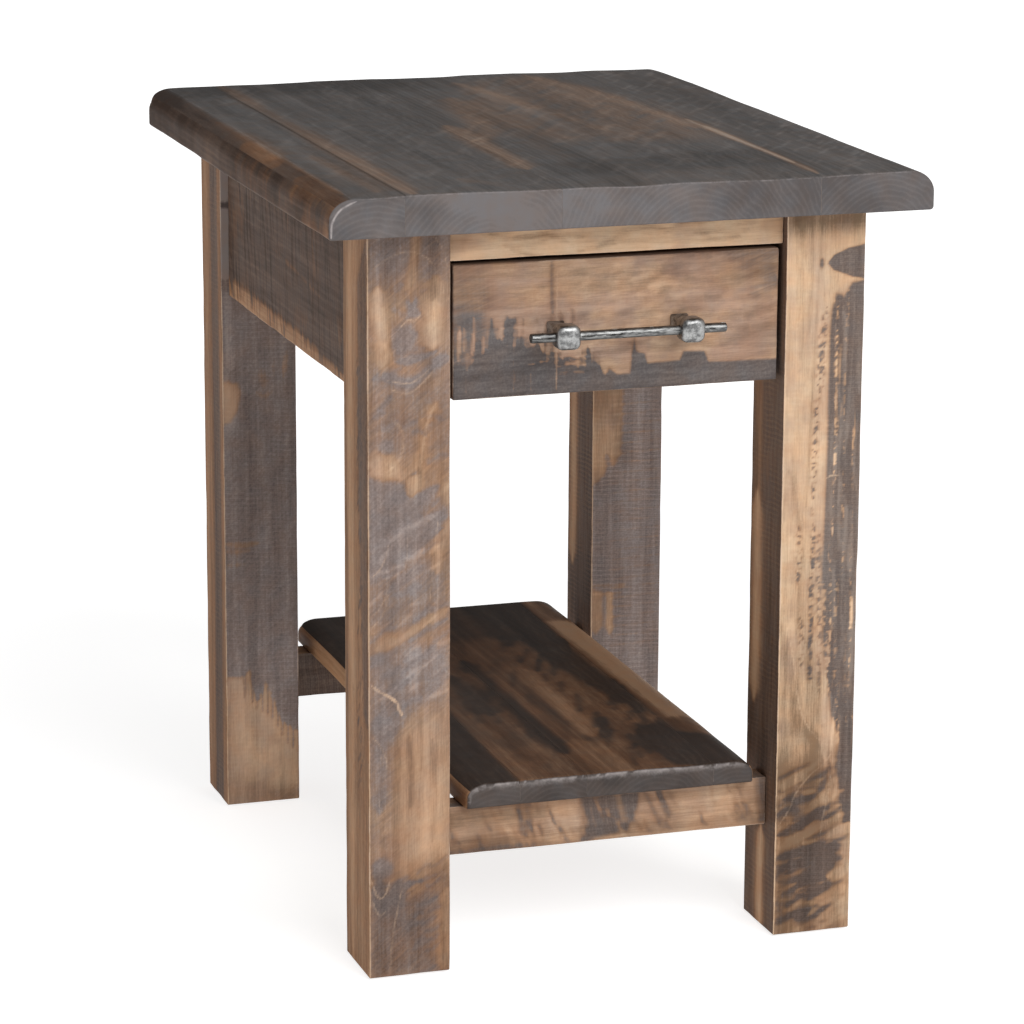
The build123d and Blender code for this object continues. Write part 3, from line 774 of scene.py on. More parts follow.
FRONT_LEFT_FACE = [
    stain.level(0.46),
    ARRIS_HIGHLIGHT,
    stain.area(0.34, 12, (0, 604), (67, 604), (67, 578), (52, 556), (34, 566), (14, 560), (0, 566)),
    pale.line(0.55, 1.1, (16, 592), (26, 600), (36, 602), (50, 598), (60, 585), (64, 570)),
    pale.line(0.5, 1.2, (5, 572), (18, 580), (34, 584), (48, 578), (58, 564), (62, 548)),
    stain.line(-0.5, 4, (40, 598), (38, 580), (35, 560), (36, 545)),
    warm_tone_and_bounce.line(0.3, 7, (40, 598), (38, 580), (35, 560), (36, 545)),
    stain.oval(0.5, (36, 545), (5, 10)),
    stain.oval(0.45, (38, 536), (6, 3.5)),
    pale.line(0.8, 1, (27, 526), (33, 531), (38, 530), (43, 535)),
    stain.line(-0.55, 6, (9, 556), (10, 535), (14, 512), (12, 496)),
    glow.line(0.5, 6, (9, 556), (10, 535), (14, 512)),
    stain.line(-0.65, 7, (55, 562), (53, 535), (52, 508)),
    glow.line(0.6, 5, (55, 545), (52, 530), (53, 508)),
    glow.area(-0.35, 12, (0, 604), (67, 604), (67, 545), (0, 545)),
    glow.area(-0.45, 12, (4, 84), (60, 90), (60, 0), (0, 0)),
    stain.oval(0.55, (29, 516), (11, 13)),
    stain.line(0.5, 2.4, (22, 500), (36, 499), (56, 506)),
    stain.line(0.45, 4, (14, 490), (34, 481), (50, 492), (64, 500)),
    pale.line(0.65, 1.2, (16, 485), (28, 482), (36, 482), (46, 488), (52, 495)),
    pale.line(0.65, 1.2, (18, 478), (26, 475), (34, 474), (43, 480), (54, 491)),
    pale.line(0.35, 1, (24, 504), (38, 501), (50, 504)),
    stain.area(0.2, 8, (0, 500), (26, 490), (40, 470), (67, 480), (67, 430), (30, 420), (0, 430)),
    warm_tone_and_bounce.area(0.25, 8, (18, 470), (67, 470), (67, 400), (30, 400)),
    pale.line(0.55, 1.8, (56, 466), (50, 455), (46, 440), (44, 424), (42, 412)),
    pale.line(0.5, 2, (20, 455), (26, 447), (29, 438), (27, 424), (20, 416)),
    stain.line(-0.35, 6, (55, 464), (46, 445), (42, 408)),
    stain.oval(-0.45, (12, 418), (12, 12), 25),
    stain.oval(0.4, (15, 432), (6, 6), 30),
    stain.line(-0.45, 5, (2, 420), (20, 413), (36, 405), (38, 398)),
    pale.line(0.5, 1.5, (10, 411), (15, 412), (21, 417)),
    stain.area(0.5, 4, (1, 410), (14, 406), (30, 404), (35, 392), (56, 400), (66, 372), (40, 345),
        (2, 330)),
    glow.area(-0.2, 10, (3, 404), (30, 398), (34, 372), (3, 360)),
    stain.line(-0.55, 5, (40, 408), (36, 398), (33, 394)),
    stain.line(-0.5, 6, (66, 400), (58, 388), (46, 372)),
    stain.line(-0.45, 5, (66, 372), (58, 350), (56, 330)),
    stain.line(0.45, 3, (6, 349), (30, 366), (58, 378)),
    glow.line(0.6, 2.5, (18, 358), (34, 368), (54, 376)),
    stain.line(0.4, 2.2, (4, 338), (28, 352), (62, 366)),
    stain.area(0.3, 7, (2, 338), (64, 345), (64, 290), (30, 282), (2, 292)),
    pale.line(0.55, 1.1, (57, 372), (54, 350), (51, 320), (49, 290)),
    pale.line(0.45, 1.1, (61, 356), (58, 330), (56, 292)),
    pale.line(0.4, 1, (33, 372), (32, 350), (30, 330)),
    *[pale.line(0.55, 1, (3, z), (9, z + 5), (14, z + 14), (17, z + 26)) for z in (290, 299, 330)],
    stain.line(0.35, 3, (2, 258), (26, 274), (64, 292)),
    stain.line(-0.45, 6, (8, 272), (26, 278), (45, 288), (62, 300)),
    stain.area(0.36, 7, (2, 262), (34, 276), (64, 270), (66, 246), (52, 228), (34, 218), (20, 196),
        (2, 208)),
    glow.area(0.1, 10, (22, 276), (64, 272), (64, 250), (24, 240)),
    pale.line(1.2, 1.3, (3, 243), (9, 238), (17, 233), (22, 229)),
    pale.line(1.2, 1.4, (20, 230), (24, 227), (25, 222), (28, 216)),
    pale.line(0.4, 1.2, (56, 220), (62, 222), (66, 221)),
    stain.line(0.45, 8, (12, 218), (9, 190), (12, 165), (9, 140)),
    pale.line(0.65, 1.1, (3, 202), (9, 194), (14, 184), (16, 172)),
    pale.line(0.45, 1.1, (9, 188), (13, 172), (12, 156)),
    stain.area(-0.36, 14, (30, 200), (44, 208), (67, 216), (67, 95), (28, 95), (24, 150)),
    glow.area(0.45, 12, (46, 160), (66, 175), (66, 100), (40, 104)),
    warm_tone_and_bounce.area(0.3, 14, (20, 190), (67, 190), (67, 90), (20, 90)),
    glow.line(-0.6, 2.5, (33, 200), (35, 170), (34, 140)),
    glow.line(-0.45, 2, (52, 195), (54, 150), (52, 110)),
    glow.line(-0.3, 2, (42, 215), (43, 180), (41, 130)),
    pale.line(0.45, 1, (10, 160), (9, 145), (13, 130), (12, 118)),
    stain.oval(0.6, (11, 92), (9, 9)),
    stain.line(0.5, 7, (8, 82), (13, 62), (22, 64), (25, 80)),
    pale.line(0.65, 1.2, (2, 84), (5, 74), (9, 68), (14, 72), (17, 82)),
    pale.line(0.5, 1.1, (3, 66), (6, 58), (9, 54), (14, 57)),
    stain.area(0.3, 10, (4, 62), (26, 66), (40, 50), (50, 48), (50, 20), (58, 2), (0, 2)),
    stain.oval(0.3, (46, 62), (12, 9), 15),
    pale.line(0.55, 1.1, (27, 74), (24, 60), (20, 40), (18, 20), (17, 2)),
    stain.line(-0.45, 5, (64, 70), (63, 40), (61, 5)),
    warm_tone_and_bounce.area(0.4, 12, (-4, 92), (70, 92), (70, -4), (-4, -4)),
    stain.line(0.35, 3, (4, 78), (8, 64), (16, 60), (20, 76)),
    *stain.scribbles(3, 34, (4, 225), (64, 420), 26, 0.26, tilt=(15, 45), width=2.2),
    *glow.scribbles(6, 24, (4, 225), (64, 350), 20, 0.5, tilt=(15, 45), width=1.6),
    *stain.scribbles(4, 26, (4, 440), (64, 560), 18, 0.22, tilt=(-50, 50), width=2.4),
    *stain.scribbles(5, 20, (20, 5), (60, 95), 22, 0.25, tilt=(10, 35), width=2),
]

FRONT_RIGHT_FACE = [
    glow.level(0.25),
    ARRIS_HIGHLIGHT,
    # Darker at the top, under the top's overhang: a painted shadow of the top, partly the wood's own brown.
    stain.line(0.4, 10, (4, 606), (8, 590)),
    glow.area(-1, 10, (-4, 610), (70, 610), (70, 584), (-4, 580)),
    glow.area(-0.25, 20, (-6, 236), (44, 236), (60, 160), (60, -10), (-6, -10)),
    glow.area(-0.55, 14, (-6, 150), (50, 156), (60, 120), (60, -10), (-6, -10)),
    stain.area(0.18, 10, (-4, 140), (54, 156), (58, -6), (-4, -6)),
    glow.area(-0.28, 24, (-6, 312), (34, 318), (50, 250), (56, 150), (-6, 150)),
    glow.line(-0.35, 2, (20, 602), (22, 560), (20, 500)),
    glow.line(-0.4, 1.5, (30, 600), (27, 520), (24, 440), (21, 360)),
    pale.line(0.35, 1.2, (26, 520), (23, 460), (21, 400)),
    stain.area(1.2, 1.6, (35, 557), (40, 563), (52, 568), (68, 571), (68, 543), (56, 545), (46, 549),
        (40, 551)),
    stain.oval(0.9, (30, 557), (2.2, 5)),
    stain.area(1.25, 3.5, (40, 522), (43, 532), (50, 530), (56, 540), (68, 542), (68, 92), (60, 92),
        (55, 130),
         (54, 165), (47, 185), (42, 215), (38, 250), (36, 300), (37, 340), (38, 400), (38, 450), (38, 500)),
    stain.line(-0.6, 1.7, (45, 528), (44, 460), (45, 400), (44, 330), broken=1),
    stain.line(-0.5, 1.5, (53, 536), (52, 450), (53, 380), (54, 300), broken=1),
    stain.line(-0.45, 1.3, (60, 430), (61, 330), (62, 190), broken=1),
    stain.line(-0.55, 1.8, (42, 330), (44, 280), (44, 230), broken=0.8),
    stain.line(-0.55, 2, (48, 310), (49, 240), (53, 160), broken=0.9),
    stain.line(-0.4, 1.5, (57, 290), (58, 230), (61, 170), broken=1),
    stain.line(-0.5, 2.4, (38, 300), (41, 250), (44, 200), broken=0.6),
    pale.line(0.8, 1, (38, 383), (44, 385), (49, 384)),
    stain.line(0.62, 3, (32, 516), (30, 470), (28, 430), (27, 366), broken=1),
    stain.line(0.45, 2, (35, 522), (34, 490), (33, 450), broken=1),
    stain.line(0.35, 1.6, (26, 362), (27, 350), (27, 340), broken=1),
    stain.line(0.7, 2.8, (27, 346), (28, 320), (27, 290), (28, 262), broken=0.6),
    stain.line(0.8, 2.8, (28, 266), (27, 240), (28, 214), broken=0.3),
    stain.line(0.5, 2.4, (33, 340), (33, 300), (35, 240), (36, 200), broken=0.9),
    stain.line(0.55, 3.2, (15, 344), (16, 320), (15, 298), broken=1),
    stain.line(0.5, 3.4, (18, 272), (20, 250), (19, 228), broken=1),
    pale.line(0.55, 1, (2, 396), (8, 390), (12, 376), (16, 356), (20, 336), (22, 312)),
    glow.line(-0.45, 3, (5, 392), (10, 380), (13, 362), (17, 340)),
    pale.line(0.6, 1, (1, 290), (5, 268), (11, 245), (15, 222), (18, 200), (24, 182), (34, 168),
        (44, 160), (48, 155)),
    glow.line(-0.25, 4, (2, 262), (8, 240), (12, 215), (15, 190), (24, 174), (38, 158)),
    glow.line(0.3, 5, (10, 268), (18, 230), (26, 190), (38, 172)),
    pale.line(0.45, 1.3, (49, 155), (42, 145), (30, 136), (18, 122), (12, 108), (3, 95)),
    stain.area(0.42, 9, (6, 126), (22, 132), (36, 140), (48, 152), (58, 156), (60, 112), (40, 118),
        (24, 110), (10, 92), (0, 102)),
    pale.line(0.5, 1.3, (48, 136), (46, 120), (42, 100), (40, 84)),
    stain.line(0.45, 4.5, (16, 98), (30, 100), (46, 106)),
    stain.line(0.5, 5, (4, 68), (20, 72), (48, 84)),
    stain.line(0.5, 9, (2, 50), (24, 56), (58, 72)),
    stain.line(0.5, 6, (2, 28), (20, 33), (50, 46)),
    stain.line(0.5, 4, (22, 42), (40, 48), (52, 58)),
    stain.area(0.35, 8, (16, 18), (40, 22), (50, 14), (66, 20), (66, 0), (26, 0)),
    stain.line(0.4, 4, (3, 15), (16, 19), (34, 22)),
    stain.area(0.16, 10, (0, 120), (50, 120), (56, 60), (50, 0), (0, 0)),
    warm_tone_and_bounce.area(0.35, 12, (-4, 150), (56, 160), (60, -6), (-4, -6)),
    glow.line(-0.4, 6, (10, 80), (40, 90), (56, 96)),
    *stain.scribbles(8, 44, (4, 8), (54, 140), 50, 0.34, tilt=(13, 24), width=2.6),
    *stain.scribbles(7, 40, (4, 8), (60, 140), 50, -0.34, tilt=(13, 24), width=2.2),
    *glow.scribbles(9, 40, (40, 110), (66, 520), 60, 0.5, tilt=(86, 94), width=1.3),
    *stain.scribbles(10, 44, (38, 110), (66, 520), 60, -0.35, tilt=(86, 94), width=1.2),
]

# Sides of the legs, whose warm level is a painted warm bounce light, and then the fronts of the rear legs.
WARM_SIDE = [
    stain.level(0.1),
    warm_tone_and_bounce.level(0.8),
    glow.level(0.1),
    stain.area(0.62, 5, (40, 560), (68, 604), (68, 200), (52, 220), (44, 330), (40, 460)),
    stain.area(0.3, 6, (44, 220), (60, 220), (60, 0), (52, 0)),
    stain.area(0.2, 10, (30, 480), (50, 480), (50, 380), (26, 380)),
    glow.line(0.5, 9, (22, 600), (18, 400), (24, 200), (20, 0)),
    glow.line(-0.5, 4, (4, 600), (6, 300), (4, 0)),
    stain.area(0.3, 12, (16, 240), (40, 230), (44, 140), (20, 130)),
    *stain.scribbles(14, 60, (38, 150), (50, 520), 14, 0.35, tilt=(50, 70), width=1.4),
]
REAR_SIDE = [
    stain.level(0.3),
    warm_tone_and_bounce.level(0.8),
    glow.level(-0.1),
    stain.area(0.55, 4, (30, 604), (56, 604), (58, 300), (54, 0), (26, 0), (34, 300)),
    glow.line(0.3, 8, (14, 600), (12, 300), (16, 0)),
]
DEEP_SIDE = [
    stain.level(0.78),
    warm_tone_and_bounce.level(0.7),
    glow.level(-0.2),
    stain.line(-0.7, 11, (14, 360), (16, 270), (14, 190)),
    stain.line(-0.45, 8, (12, 470), (14, 420), (16, 350)),
    stain.line(-0.7, 10, (36, 84), (34, 40), (36, 0)),
    glow.line(0.9, 10, (14, 360), (16, 270), (14, 190)),
    glow.line(0.9, 8, (36, 84), (34, 40), (36, 0)),
]
# Across and up the face, the upper ends of the short dark lines at the foot of the rear left leg.
DRIPS = (
    (17, 124), (24, 120), (28, 112), (33, 110), (38, 108), (42, 102), (47, 94), (51, 86), (56, 78), (61, 74),
)
REAR_LEFT_FACE = [
    stain.level(1.1),
    # A painted highlight down the left front arris, as on the other legs.
    pale.line(1.4, 0.9, (0.5, -40), (0.5, 240), (0.5, 470)),
    glow.area(1.6, 1.5, (-1, 610), (8, 610), (8, 480), (-1, 480)),
    glow.line(-3, 3, (-2, 546), (4, 545), (12, 545)),
    glow.line(0.5, 6, (4, 480), (6, 430), (8, 400)),
    stain.area(-0.85, 4, (0, 390), (14, 387), (17, 378), (14, 362), (8, 352), (0, 350)),
    stain.oval(-0.45, (57, 402), (3, 14), -5),
    stain.oval(-0.4, (37, 390), (4.5, 10), 8),
    stain.oval(-0.3, (46, 398), (2.5, 9)),
    stain.line(-0.35, 3, (30, 378), (38, 374), (46, 378)),
    stain.line(-0.6, 3, (2, 243), (14, 241), (32, 242)),
    glow.oval(0.6, (5, 366), (10, 22)),
    stain.line(-0.4, 3, (2, 236), (12, 235), (24, 236)),
    stain.line(-0.3, 2.5, (2, 224), (10, 223), (20, 224)),
    stain.area(-1, 3, (0, 121), (14, 120), (22, 126), (27, 106), (33, 104), (36, 114), (45, 95),
        (52, 76), (67, 65),
         (67, -4), (0, -4)),
    stain.line(0.8, 2.2, (29, 118), (29, 102), (30, 98)),
    glow.area(0.6, 10, (10, 116), (68, 66), (68, 10), (10, 30)),
    *[
        stain.line(0.6, 1.3, (x, top), (x + 0.5, top - 12), (x, top - 24))
        for x, top in DRIPS
    ],
    stain.line(0.35, 8, (40, 10), (56, 6), (68, 12)),
    *stain.scribbles(25, 24, (4, 150), (62, 520), 26, -0.14, tilt=(84, 96), width=1.4),
]
REAR_RIGHT_FACE = [
    stain.level(1.05),
    glow.line(-0.3, 12, (20, 380), (24, 340), (30, 290)),
    ARRIS_HIGHLIGHT,
    stain.area(-0.85, 4, (-4, 392), (29, 392), (29, 330), (27, 298), (16, 284), (2, 272), (-4, 272)),
    glow.oval(0.5, (8, 310), (16, 30)),
    stain.line(0.6, 3, (14, 300), (16, 290), (15, 282)),
    stain.area(-0.7, 3, (0, 176), (11, 172), (12, 140), (6, 132), (0, 136)),
    stain.area(-0.7, 2.5, (15, 172), (21, 170), (22, 134), (18, 130), (14, 138)),
    stain.line(-0.5, 1.6, (0, 178), (20, 177), (34, 177)),
    stain.line(-0.4, 1.4, (0, 170), (20, 169), (30, 169)),
    *[stain.line(-0.35, 1.2, (18, z), (40, z + 1), (66, z + 2)) for z in range(120, 350, 9)],
]
# Faces of the legs that the photo doesn't show.
BACK_FACE = [
    stain.level(0.5),
    stain.clouds(0.8, (22, 130), 61),
    glow.clouds(0.5, (20, 120), 62),
    *stain.scribbles(65, 40, (6, 20), (62, 580), 70, 0.45, tilt=(84, 96), width=1.6),
    *stain.scribbles(66, 30, (6, 20), (62, 580), 26, -0.45, tilt=(20, 50), width=2),
    *pale.scribbles(67, 12, (6, 20), (62, 580), 26, 0.8, tilt=(20, 70), width=1),
]
SIDE_FACE = [
    stain.level(0.45),
    warm_tone_and_bounce.level(0.3),
    stain.clouds(0.8, (26, 150), 63),
    glow.clouds(0.5, (20, 120), 64),
    *stain.scribbles(68, 40, (6, 20), (62, 580), 70, 0.45, tilt=(84, 96), width=1.6),
    *stain.scribbles(69, 30, (6, 20), (62, 580), 30, -0.4, tilt=(60, 80), width=2),
]

# For each leg: its painted faces, its light and dark tones, and how strong its saw marks and figure are.
LEGS = {
    "leg_front_left": (
        {"front": FRONT_LEFT_FACE, "left": WARM_SIDE, "right": DEEP_SIDE}, TAN, DUSK, 0.12, 0.42,
    ),
    "leg_front_right": ({"front": FRONT_RIGHT_FACE, "left": DEEP_SIDE}, HONEY, GREY, 0.4, 0.12),
    "leg_rear_left": ({"front": REAR_LEFT_FACE, "left": REAR_SIDE}, TAN, DUSK, 0.4, 0.3),
    "leg_rear_right": ({"front": REAR_RIGHT_FACE, "left": DEEP_SIDE}, TAN, DUSK, 0.7, 0.2),
}


GLIDE_HEIGHT = 1.5
# How far a leg's pith lies from the middle of the table, and behind the leg.
PITH_X, PITH_BEHIND = 171, 50
LEG_FIGURE_LEAN = math.radians(-50)


def make_legs():
    """The four legs, which stand on their glides."""
    ends = {"top": [stain.level(0.9)], "under": [stain.level(0.8)]}
    for number, (name, (faces, light, dark, kerf, figure)) in enumerate(LEGS.items()):
        low, high = box(name)
        low[2] = GLIDE_HEIGHT
        piece = board(f"{name}_wood", low, high, "z", ease=1.4, step=1.6)
        plane_by_hand(piece, 20 + number)
        paint(piece, {"right": SIDE_FACE, "back": BACK_FACE, **faces, **ends}, seed=number)
        side = -1 if low[0] < 0 else 1
        material = wood(
            f"{name}_stain", "z", light=light, dark=dark, seed=number, kerf=kerf, figure=figure,
            pith=(side * PITH_X, (low[1] + high[1]) / 2 + PITH_BEHIND), figure_turn=(0, LEG_FIGURE_LEAN, 0),
        )
        dress(piece, "table_frame", "leg_wood", material, name)


# ---------------------------------------------------------------- rails, aprons and stretchers

RAIL_FACE = [
    glow.level(0.35),
    glow.clouds(0.25, (60, 14), 71),
    stain.line(0.3, 8, (0, 590), (14, 588)),
    stain.line(0.35, 9, (275, 590), (258, 588)),
    *glow.scribbles(30, 14, (20, 575), (250, 600), 60, -0.35, tilt=(-8, 18), width=2),
]
APRON_FACE = [
    stain.level(0.9),
    # The warm level: a painted warm bounce light on the apron's side.
    warm_tone_and_bounce.level(0.85),
    glow.level(-0.1),
    stain.clouds(0.22, (40, 60), 72),
    stain.area(-0.8, 4, (0, 483), (40, 483), (120, 482), (230, 480), (330, 475), (400, 470), (400, 455),
        (0, 455)),
    stain.area(0.35, 14, (290, 490), (420, 490), (420, 450), (300, 450)),
    glow.area(0.4, 5, (0, 482), (200, 478), (400, 470), (400, 455), (0, 455)),
    stain.area(-0.4, 7, (30, 604), (360, 604), (350, 592), (200, 594), (60, 588)),
    stain.line(-0.35, 2, (150, 534), (190, 531), (240, 527), (300, 520)),
    *stain.scribbles(31, 90, (4, 474), (390, 600), 70, 0.45, tilt=(-86, -76), width=1.8),
    *glow.scribbles(32, 90, (4, 476), (390, 600), 70, -0.5, tilt=(-86, -76), width=1.6),
    *stain.scribbles(33, 30, (10, 580), (290, 600), 22, -0.45, tilt=(-86, -76), width=2.6),
    *stain.scribbles(34, 46, (4, 470), (390, 488), 20, 0.5, tilt=(-86, -76), width=1.8),
]
STRETCHER_FACE = [
    stain.level(0.1),
    warm_tone_and_bounce.level(0.15),
    glow.clouds(0.25, (40, 12), 73),
    stain.area(0.4, 5, (-4, 104), (6, 102), (8, 92), (-4, 88)),
    stain.line(0.55, 3, (62, 133), (65, 115), (70, 100)),
    stain.line(0.5, 3.4, (68, 133), (72, 116), (76, 104)),
    stain.line(0.45, 1.6, (86, 133), (90, 118), (94, 108)),
    stain.area(0.95, 4, (113, 134), (166, 134), (164, 116), (156, 96), (118, 92), (122, 106), (118, 118)),
    stain.line(-0.5, 4, (146, 130), (150, 116), (154, 104)),
    stain.line(0.5, 2.6, (168, 133), (176, 116), (184, 98)),
    stain.line(0.5, 2.6, (178, 133), (184, 118), (192, 104)),
    stain.line(0.3, 3, (188, 133), (193, 122), (198, 114)),
    stain.line(0.2, 4, (170, 94), (220, 97), (275, 95)),
    stain.area(0.5, 4, (266, 134), (280, 134), (280, 92), (270, 92)),
    stain.line(0.35, 3, (0, 92), (60, 93), (126, 92)),
    stain.area(0.36, 9, (20, 112), (72, 110), (78, 86), (20, 86)),
    glow.area(0.55, 6, (88, 128), (114, 128), (114, 92), (92, 92)),
    glow.area(0.4, 6, (194, 130), (246, 128), (246, 96), (204, 94)),
    stain.area(0.18, 9, (240, 134), (276, 134), (276, 90), (246, 90)),
    *stain.scribbles(35, 46, (4, 94), (272, 130), 20, 0.3, tilt=(-76, -58), width=1.8),
    *stain.scribbles(36, 30, (4, 94), (272, 130), 20, -0.3, tilt=(-76, -58), width=1.8),
]
# Each rail: its node, grain, slot, painted faces, the strength of its saw marks, and its light tone.
RAILS = (
    ("rail_front_top", "x", "rail_wood", {"front": RAIL_FACE}, 0.15, HONEY),
    ("stretcher_front", "x", "rail_wood", {"front": STRETCHER_FACE}, 0.3, TAN),
    ("stretcher_rear", "x", "rail_wood", {"front": [stain.level(1.0), warm_tone_and_bounce.level(0.5)]}, 0.5, TAN),
    ("apron_rear", "x", "apron_wood", {}, 1.0, TAN),
    ("apron_left", "y", "apron_wood", {"left": APRON_FACE}, 0.4, TAN),
    ("apron_right", "y", "apron_wood", {"right": APRON_FACE}, 0.8, TAN),
)


def make_rails():
    """Rails, stretchers and aprons, each as long as the space between the legs."""
    _, leg_high = box("leg_front_left")
    for number, (name, grain, slot, faces, kerf, light) in enumerate(RAILS):
        low, high = box(name)
        along = AXES.index(grain)
        low[along], high[along] = leg_high[along], -leg_high[along]
        piece = board(f"{name}_wood", low, high, grain, ease=1.0)
        plane_by_hand(piece, 30 + number)
        paint(piece, {**plain_faces(80 + 20 * number, (90, 20), 0.55, 0.5), **faces}, seed=30 + number)
        material = wood(f"{name}_stain", grain, light=light, seed=10 + number, kerf=kerf, pitch=6.0,
                        kerf_tilt=0.12)
        dress(piece, "table_frame", slot, material, name)


# ---------------------------------------------------------------- glued panels

def round_rear_corners(places, low, high, radius):
    """Rounds the two rear corners of a whole panel, as seen from above, in the points of one board."""
    for side, edge in ((-1, low[0]), (1, high[0])):
        a = np.maximum((places[:, 0] - edge) * side / radius + 1, 1e-6)
        b = np.maximum((places[:, 1] - high[1]) / radius + 1, 1e-6)
        inside = (a > 1e-6) & (b > 1e-6)
        pull = np.where(inside, np.maximum(a, b) / np.hypot(a, b), 1.0)
        places[:, 0] = np.where(inside, edge + side * radius * (a * pull - 1), places[:, 0])
        places[:, 1] = np.where(inside, high[1] + radius * (b * pull - 1), places[:, 1])


def shape_by_hand(piece, whole, corner_radius, seed):
    """Makes the outline and the top edges of a whole panel gently uneven, the same in all its boards, and
    rounds its two rear corners."""
    dip_depth, dip_reach, dip_size = 1.5, 22, 70
    side_depth, side_reach, side_size = 1.2, 30, 90
    places, _ = points_of(piece)
    low, high = whole
    front, back = places[:, 1] - low[1], high[1] - places[:, 1]
    height_share = (places[:, 2] - low[2]) / (high[2] - low[2])
    along_x = np.column_stack([places[:, 0], np.zeros(len(places)), np.full(len(places), 7.0)])
    for number, gap in enumerate((front, back)):
        dip = np.clip(layered_noise(along_x, dip_size, seed + number, 2), -0.2, 1) + 0.2
        places[:, 2] -= dip_depth * dip * np.exp(-gap / dip_reach) * height_share
    for number, (way, gap) in enumerate(((-1, places[:, 0] - low[0]), (1, high[0] - places[:, 0]))):
        along_y = np.column_stack([places[:, 1], np.full(len(places), 3.0), np.zeros(len(places))])
        pull = np.clip(layered_noise(along_y, side_size, seed + 5 + number, 2), -0.3, 1) + 0.3
        places[:, 0] -= way * side_depth * pull * np.exp(-gap / side_reach)
    round_rear_corners(places, low, high, corner_radius)
    move_points(piece, places)


# Boards in a panel, how much their glued edges are rounded, and the stain on their glued faces.
BOARDS = 4
SEAM_EASE = 0.05
GLUED_FACE = [stain.level(0.9)]


def board_edges(number, side_radii, under_radius):
    """For one board of a panel: its glued sides, and the radii of its free long edges."""
    flush = [side for side, outer in ((-1, 0), (1, BOARDS - 1)) if number != outer]
    corners = {}
    for side in (-1, 1):
        if side not in flush:
            corners[1, side] = side_radii
            corners[-1, side] = (under_radius, under_radius)
    return flush, corners


def make_panel(prefix, slot, faces, seed, side_radii, under_radius, corner_radius, end_ease, **finish):
    """A panel of boards glued edge to edge, with its long sides rounded over. finish goes to the wood."""
    boxes = [box(f"{prefix}_{number + 1}") for number in range(BOARDS)]
    whole = (boxes[0][0], boxes[-1][1])
    for number, (low, high) in enumerate(boxes):
        node = f"{prefix}_{number + 1}"
        flush, corners = board_edges(number, side_radii, under_radius)
        piece = board(f"{node}_wood", low, high, "y", ease=SEAM_EASE, step=2.6, corners=corners,
                      end_ease=end_ease, flush=flush)
        glued = {("left" if side < 0 else "right"): GLUED_FACE for side in flush}
        paint(piece, {**faces, **glued}, frame_box=whole, wear_and_highlight_width=0.0, seed=seed + number)
        shape_by_hand(piece, whole, corner_radius, seed)
        material = wood(
            f"{node}_stain", "y", seed=seed + number, rosy=0.0, pith=(low[2] - 30, (low[0] + high[0]) / 2),
            kerf=0.08, ring=0.08, spacing=4.2, ragged=0.30, pale_and_highlight_tone=(0.40, 0.36, 0.35), **finish,
        )
        dress(piece, "table_frame", slot, material, node)


TOP_BROWN = ((0.140, 0.103, 0.082), (0.248, 0.188, 0.152), (0.390, 0.300, 0.240))
TOP_CHARCOAL = ((0.066, 0.062, 0.061), (0.119, 0.111, 0.109), (0.180, 0.167, 0.163))
SHELF_BROWN = ((0.085, 0.048, 0.030), (0.170, 0.100, 0.064), (0.330, 0.210, 0.135))
SHELF_BLACK = ((0.022, 0.017, 0.015), (0.042, 0.032, 0.028), (0.075, 0.058, 0.050))

